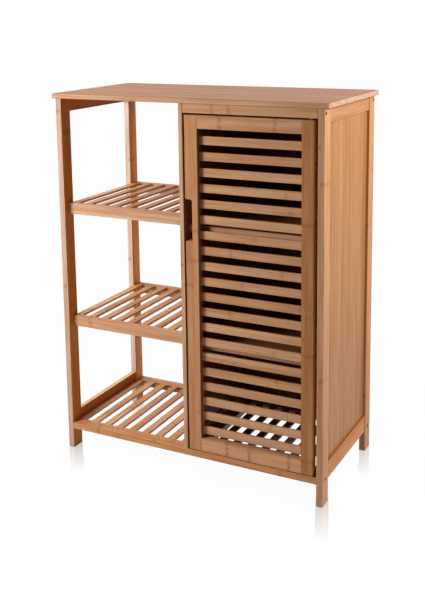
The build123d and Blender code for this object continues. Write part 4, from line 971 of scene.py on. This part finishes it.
@dataclass
class Door:
    """The slatted door: two stiles, two rails and twenty slats lapped in at the back."""

    left: float = 8.6
    right: float = 316.0
    low: float = 69.0
    high: float = 857.0
    front: float = -167.0
    rear: float = -147.0
    left_stile: float = 32.0
    right_stile: float = 27.6
    top_rail: float = 30.0
    bottom_rail: float = 31.5
    rail_ease: float = 0.12
    slat_height: float = 19.5
    slats_y: Span = (-155.95, -151.05)
    slat_corner: float = 0.8
    slat_ease: float = 0.3
    slat_lap: float = 10.0
    first_slat: float = 809.7
    slat_pitch: float = 35.9
    slat_count: int = 20
    stile_corner: float = 0.6
    stile_edge: float = 0.9
    cut_depth: float = 16.8
    cut_low: float = 570.6
    cut_high: float = 666.4
    cut_corner: float = 4.0
    cut_top: float = 5.5
    cut_bottom: float = 2.5
    cut_steps: int = 6

    @property
    def opening(self) -> Span:
        """Give the inner edges of the pull stile and of the hinge stile."""
        return self.left + self.left_stile, self.right - self.right_stile

    def build(self) -> None:
        """Build the door's pieces, all riding on the door body."""
        self.stiles()
        self.rails()
        tops = self.first_slat - self.slat_pitch * np.arange(self.slat_count)
        left, right = self.opening[0] - self.slat_lap, self.opening[1] + self.slat_lap
        slats = [
            board(
                (left, self.slats_y[0], top - self.slat_height), (right, self.slats_y[1], top),
                Carried.X, self.slat_corner, self.slat_ease,
            )
            for top in tops
        ]
        material = SLATS.toned(0.96, 1.01, 1.14).build(Grain.ALONG_X, seed=85)
        make_piece("door_slat_row", slats, material, ["door_slats"], "door")

    def stiles(self) -> None:
        """Build the pull stile with its cut-out, and the hinge stile."""
        outline = self.stile_outline()
        stile = eased_prism(outline, Carried.Y, self.front, self.rear, self.stile_edge)
        # The inner edge face is painted in deep shade.
        finish = TIMBER.toned(0.95, 0.9, 0.85, right=(0.4, 0.3, 0.2), front=(0.87, 0.82, 0.81))
        material = finish.build(Grain.ALONG_Z, seed=81, knuckles=(525.0,))
        make_piece(
            "door_pull_stile", [stile], material, ["door_left_stile"], "door"
        )
        low = (self.opening[1], self.front, self.low)
        hinge = board(low, (self.right, self.rear, self.high), Carried.Z)
        # The edge face in the hinge gap is painted paler as light, and the front darker as shade.
        finish = TIMBER.toned(0.95, 0.9, 0.85, right=(1.8, 1.45, 0.7), front=(0.78, 0.72, 0.61))
        material = finish.build(Grain.ALONG_Z, seed=82, knuckles=(632.0, 344.0, 100.0))
        make_piece(
            "door_hinge_stile", [hinge], material, ["door_right_stile"], "door"
        )

    def rails(self) -> None:
        """Build the top and the bottom rail between the stiles."""
        left, right = self.opening
        top_low, bottom_high = self.high - self.top_rail, self.low + self.bottom_rail
        top_finish, bottom_finish = TIMBER.toned(0.97, 1.03, 1.18), TIMBER.toned(1.04, 1.05, 1.09)
        for name, low, high, finish, seed, knuckles in (
            ("top", top_low, self.high, top_finish, 83, (95.0, 226.0)),
            ("bottom", self.low, bottom_high, bottom_finish, 84, (106.0, 258.0)),
        ):
            near, far = (left, self.front, low), (right, self.rear, high)
            rail = board(near, far, Carried.X, ease=self.rail_ease)
            make_piece(
                f"door_{name}_cross_rail", [rail], finish.build(Grain.ALONG_X, seed, knuckles),
                [f"door_{name}_rail"], "door",
            )

    def stile_outline(self) -> np.ndarray:
        """Work out the pull stile's outline with its finger cut-out.

        The outer corners of the cut-out are convex quarter circles and its inner ones concave
        quarter circles, each placed by its centre and swept through 90 degrees.

        Returns:
            The outline as height and width columns, anticlockwise in the axes of Carried.Y.
        """
        bottom = self.left + self.cut_depth
        outer = self.left + self.cut_corner
        sweeps = (
            (outer, self.cut_high + self.cut_corner, self.cut_corner, 180, 270),
            (bottom - self.cut_top, self.cut_high - self.cut_top, self.cut_top, 90, 0),
            (bottom - self.cut_bottom, self.cut_low + self.cut_bottom, self.cut_bottom, 0, -90),
            (outer, self.cut_low - self.cut_corner, self.cut_corner, 90, 180),
        )
        arcs = []
        for x, z, radius, start, stop in sweeps:
            angle = np.radians(np.linspace(start, stop, self.cut_steps + 1))
            arcs.append(np.stack([x + radius * np.cos(angle), z + radius * np.sin(angle)], -1))
        high = (self.opening[0], self.high)
        corners = rounded_outline((self.left, self.low), high, self.stile_corner)
        # The cut-out comes after the two upper corners, on the way down the stile's outer edge.
        half = len(corners) // 2
        return np.concatenate([corners[:half], *arcs, corners[half:]])[::-1, ::-1]


@dataclass
class Hardware:
    """Screws, pins, bushes, catch and dowels, which keep their solids and get finishes; the hinge
    washer's black is painted shade.
    """

    zinc: FittingFinish = FittingFinish("zinc_plated_steel", "b9b7b0")
    black: FittingFinish = FittingFinish("black_oxide_steel", "241c17", 0.45)
    dull: FittingFinish = FittingFinish("tumbled_steel", "6e6a63", 0.55)
    nylon: FittingFinish = FittingFinish(
        "moulded_nylon", "b98e63", 0.45, (-0.05, 0.08), metallic=0.0, ior=1.53, grit=0.8,
        detail=1.0, relief_strength=0.15,
    )
    beech: BambooFinish = BambooFinish(
        "bare_beech_dowel", pale="e0c096", tan="c79f6e", knuckle_strength=0.0, joint_strength=0.0,
        coat=0.0, roughness=0.6,
    )

    def build(self) -> None:
        """Dress every small fitting."""
        screws = ("leg_screws", "partition_screws", "post_screws", "rear_rail_screw")
        dowels = ("frame_dowels", "partition_dowels", "top_board_dowels")
        groups = (
            (self.zinc.build(), ("catch_screws", "door_keeper")),
            (self.dull.build(), ("top_hinge_pin", "bottom_hinge_pin", "shelf_pins")),
            # The hinge washer is black oxide so that the gap over the door reads as painted shade.
            (self.black.build(), (*screws, "hinge_washer")),
            (self.nylon.build(), ("top_hinge_bush", "bottom_hinge_bush", "catch_body")),
            (self.beech.build(Grain.ALONG_Y, seed=91), dowels),
        )
        for material, nodes in groups:
            for node in nodes:
                dress(node, material)


@dataclass(frozen=True)
class Softbox:
    """One white rectangular lamp, its places and its size in metres, its power in watts."""

    name: str
    place: Point
    target: Point
    size: Span
    power: float

    def hang(self) -> None:
        """Hang the lamp and point it at its target."""
        data = bpy.data.lights.new(self.name, "AREA")
        data.shape = "RECTANGLE"
        data.size, data.size_y = self.size
        data.energy = self.power
        lamp = bpy.data.objects.new(self.name, data)
        lamp.location = self.place
        # Gloss shows the white studio all round, in which a softbox doesn't stand out.
        lamp.visible_glossy = False
        way = Vector(self.target) - Vector(self.place)
        lamp.rotation_euler = way.to_track_quat("-Z", "Y").to_euler()
        bpy.context.scene.collection.objects.link(lamp)


@dataclass
class Studio:
    """A white floor, soft lamps and the camera at the photograph's angle, in metres."""

    camera_place: Point = (0.99980, -1.94702, 1.08162)
    yaw: float = 0.47647
    pitch: float = -0.16574
    roll: float = -0.01298
    focal_pixels: float = 925.50
    centre: Span = (213.432, 166.0)
    image: Span = (425.0, 592.0)
    floor_reach: float = 6.0
    paint: str = "cfcfcf"
    # How much of the floor's shading shows near the object, and between which distances it fades.
    shadow: float = 0.03
    shadow_fade: Span = (0.5, 1.3)
    # Light from all round that reaches the object, where the white seen round it has strength 1.
    fill: float = 0.03
    foot: Span = (0.015, 0.036)
    # Each foot's middle on the floor, and the way from it towards the camera.
    streaks: tuple[tuple[Span, Span], ...] = (
        ((-0.332, -0.149), (0.595, -0.804)),
        ((0.332, -0.149), (0.345, -0.939)),
        ((0.332, 0.149), (0.300, -0.954)),
        ((-0.332, 0.149), (0.530, -0.848)),
    )
    # A streak starts just behind its foot, is brightest there and ends a hand's length on.
    streak_start: Span = (-0.03, -0.02)
    streak_length: float = 0.15
    streak_gloss: float = 0.45
    streak_edge: float = 0.002
    softboxes: tuple[Softbox, ...] = (
        Softbox("front left softbox", (-0.85, -1.05, 1.02), (-0.1, 0.0, 0.6), (0.5, 0.8), 23.0),
        Softbox("right side softbox", (1.4, 0.05, 1.3), (0.3, 0.0, 0.6), (0.6, 0.6), 30.0),
        Softbox("left side softbox", (-1.5, 0.2, 1.1), (0.0, 0.0, 0.5), (0.8, 0.8), 16.0),
        Softbox("overhead softbox", (-0.95, 0.15, 2.1), (-0.25, 0.0, 0.9), (1.0, 0.8), 12.5),
        Softbox("rear softbox", (-0.85, 1.75, 0.4), (0.0, 0.17, 0.45), (0.8, 0.8), 24.0),
    )

    def build(self) -> None:
        """Set up floor, lamps, world and camera."""
        self.floor()
        self.world()
        for softbox in self.softboxes:
            softbox.hang()
        self.camera()
        bpy.context.scene.view_settings.view_transform = "Standard"

    def floor(self) -> None:
        """Lay the white sweep that keeps a soft shadow and a faint reflection of the feet."""
        reach = self.floor_reach
        mesh = bpy.data.meshes.new("studio_floor")
        corners = [(reach * x, reach * y, 0) for x, y in ((-1, -1), (1, -1), (1, 1), (-1, 1))]
        mesh.from_pydata(corners, [], [(0, 1, 2, 3)])
        floor = bpy.data.objects.new("studio_floor", mesh)
        bpy.context.scene.collection.objects.link(floor)
        # Acrylic sheet, satin white with a polish by the feet: the eye gets plain white, a faint
        # shadow, and a narrow mirror image of each foot.
        material, add = new_material("white_acrylic_sweep")
        paint = add("BsdfDiffuse", {"Color": linear(self.paint)})
        place = add("TexCoord").outputs["Object"]
        # Away from the object the sweep turns plain white, so that no horizon shows.
        away = add("VectorMath", {0: place}, operation="LENGTH").outputs["Value"]
        near, far = self.shadow_fade
        limits = {1: near, 2: far, 3: self.shadow, 4: 0.0}
        shadow_share = add("MapRange", {0: away, **limits}, interpolation_type="SMOOTHSTEP")
        gloss_share, *others = [self.streak(add, place, foot, way) for foot, way in self.streaks]
        for streak in others:
            gloss_share = add("Math", {0: gloss_share, 1: streak}, operation="MAXIMUM")
        glow = add("Emission", {"Color": (1, 1, 1, 1), "Strength": 1.0})
        lit = add("MixShader", {0: shadow_share, 1: glow, 2: paint})
        gloss = add("BsdfGlossy", {"Color": (1, 1, 1, 1), "Roughness": 0.0})
        shown = add("MixShader", {0: gloss_share, 1: lit, 2: gloss})
        surface = add("MixShader", {0: self.watching(add), 1: paint, 2: shown})
        add("OutputMaterial", {"Surface": surface})
        mesh.materials.append(material)

    def streak(self, add: Add, place: Socket, foot: Span, way: Span) -> Node:
        """Polish a streak that starts under a foot, mirrors it and fades towards the camera.

        Its width is the foot's as the camera sees it: each side of the section counts by the
        share of the way that runs across it.

        Args:
            add: Adds a node to the tree.
            place: Place on the floor.
            foot: The foot's middle.
            way: The way towards the camera, one long.

        Returns:
            How much of the floor is polished.
        """
        middle = {0: place, 1: (*foot, 0.0)}
        from_foot = add("VectorMath", middle, operation="SUBTRACT")
        shares = [
            add("VectorMath", {0: from_foot, 1: (*axis, 0.0)}, operation="DOT_PRODUCT")
            for axis in (way, (-way[1], way[0]))
        ]
        ahead, aside = (share.outputs["Value"] for share in shares)
        off = add("Math", {0: aside}, operation="ABSOLUTE")
        half_width = (self.foot[0] * abs(way[1]) + self.foot[1] * abs(way[0])) / 2
        edge = {1: half_width, 2: half_width + self.streak_edge, 3: 1.0, 4: 0.0}
        narrow = add("MapRange", {0: off, **edge})
        fade = add("MapRange", {0: ahead, 2: self.streak_length, 3: self.streak_gloss, 4: 0.0})
        behind, under = self.streak_start
        start = add("MapRange", {0: ahead, 1: behind, 2: under, 3: 0.0, 4: 1.0})
        strip = add("Math", {0: narrow, 1: fade}, operation="MULTIPLY")
        return add("Math", {0: strip, 1: start}, operation="MULTIPLY")

    def watching(self, add: Add) -> Node:
        """Tell the rays that see the studio's white from those that light it.

        Args:
            add: Adds a node to the tree.

        Returns:
            A node that is one for rays from the camera, gloss or clear material, and nought for
            diffuse ones.
        """
        rays = add("LightPath").outputs
        seeing = {0: rays["Is Camera Ray"], 1: rays["Is Transmission Ray"]}
        clear = add("Math", seeing, operation="MAXIMUM")
        glossy = {0: clear, 1: rays["Is Glossy Ray"]}
        return add("Math", glossy, operation="MAXIMUM")

    def world(self) -> None:
        """Show a white backdrop to camera and gloss, and light the object gently from all round."""
        world = bpy.data.worlds.new("studio")
        bpy.context.scene.world = world
        world.use_nodes = True
        world.node_tree.nodes.clear()
        add = partial(add_node, world.node_tree)
        soft, white = (
            add("Background", {"Color": (1, 1, 1, 1), "Strength": strength})
            for strength in (self.fill, 1.0)
        )
        mixed = add("MixShader", {0: self.watching(add), 1: soft, 2: white})
        add("OutputWorld", {"Surface": mixed})

    def camera(self) -> None:
        """Place the camera by its yaw, pitch and roll, with the shift that the framing needs."""
        level = Vector((math.cos(self.yaw), math.sin(self.yaw), 0))
        ahead = Vector((-math.sin(self.yaw), math.cos(self.yaw), 0))
        forward = ahead * math.cos(self.pitch) + Vector((0, 0, math.sin(self.pitch)))
        upright = level.cross(forward)
        right = level * math.cos(self.roll) + upright * math.sin(self.roll)
        up = -level * math.sin(self.roll) + upright * math.cos(self.roll)
        data = bpy.data.cameras.new("photo_camera")
        longest = max(self.image)
        data.lens = self.focal_pixels / longest * data.sensor_width
        data.shift_x = (self.image[0] / 2 - self.centre[0]) / longest
        data.shift_y = (self.centre[1] - self.image[1] / 2) / longest
        camera = bpy.data.objects.new("photo_camera", data)
        turn = Matrix((right, up, -forward)).transposed().to_4x4()
        camera.matrix_world = Matrix.Translation(self.camera_place) @ turn
        bpy.context.scene.collection.objects.link(camera)
        bpy.context.scene.camera = camera


def main() -> None:
    logging.basicConfig(level=logging.INFO, format="%(name)s %(message)s")
    TopBoard().build()
    Carcass().build()
    # The edge tones hold painted light: the upper shelf's rails paler and bluer than the lower's.
    OpenShelf("upper_shelf", 627.0, 41, (1.04, 1.19, 1.56)).build()
    OpenShelf("lower_shelf", 343.0, 51, (1.01, 1.04, 1.17)).build()
    SlattedBottom().build()
    CupboardShelves().build()
    Door().build()
    Hardware().build()
    Studio().build()


if __name__ == "__main__":
    main()
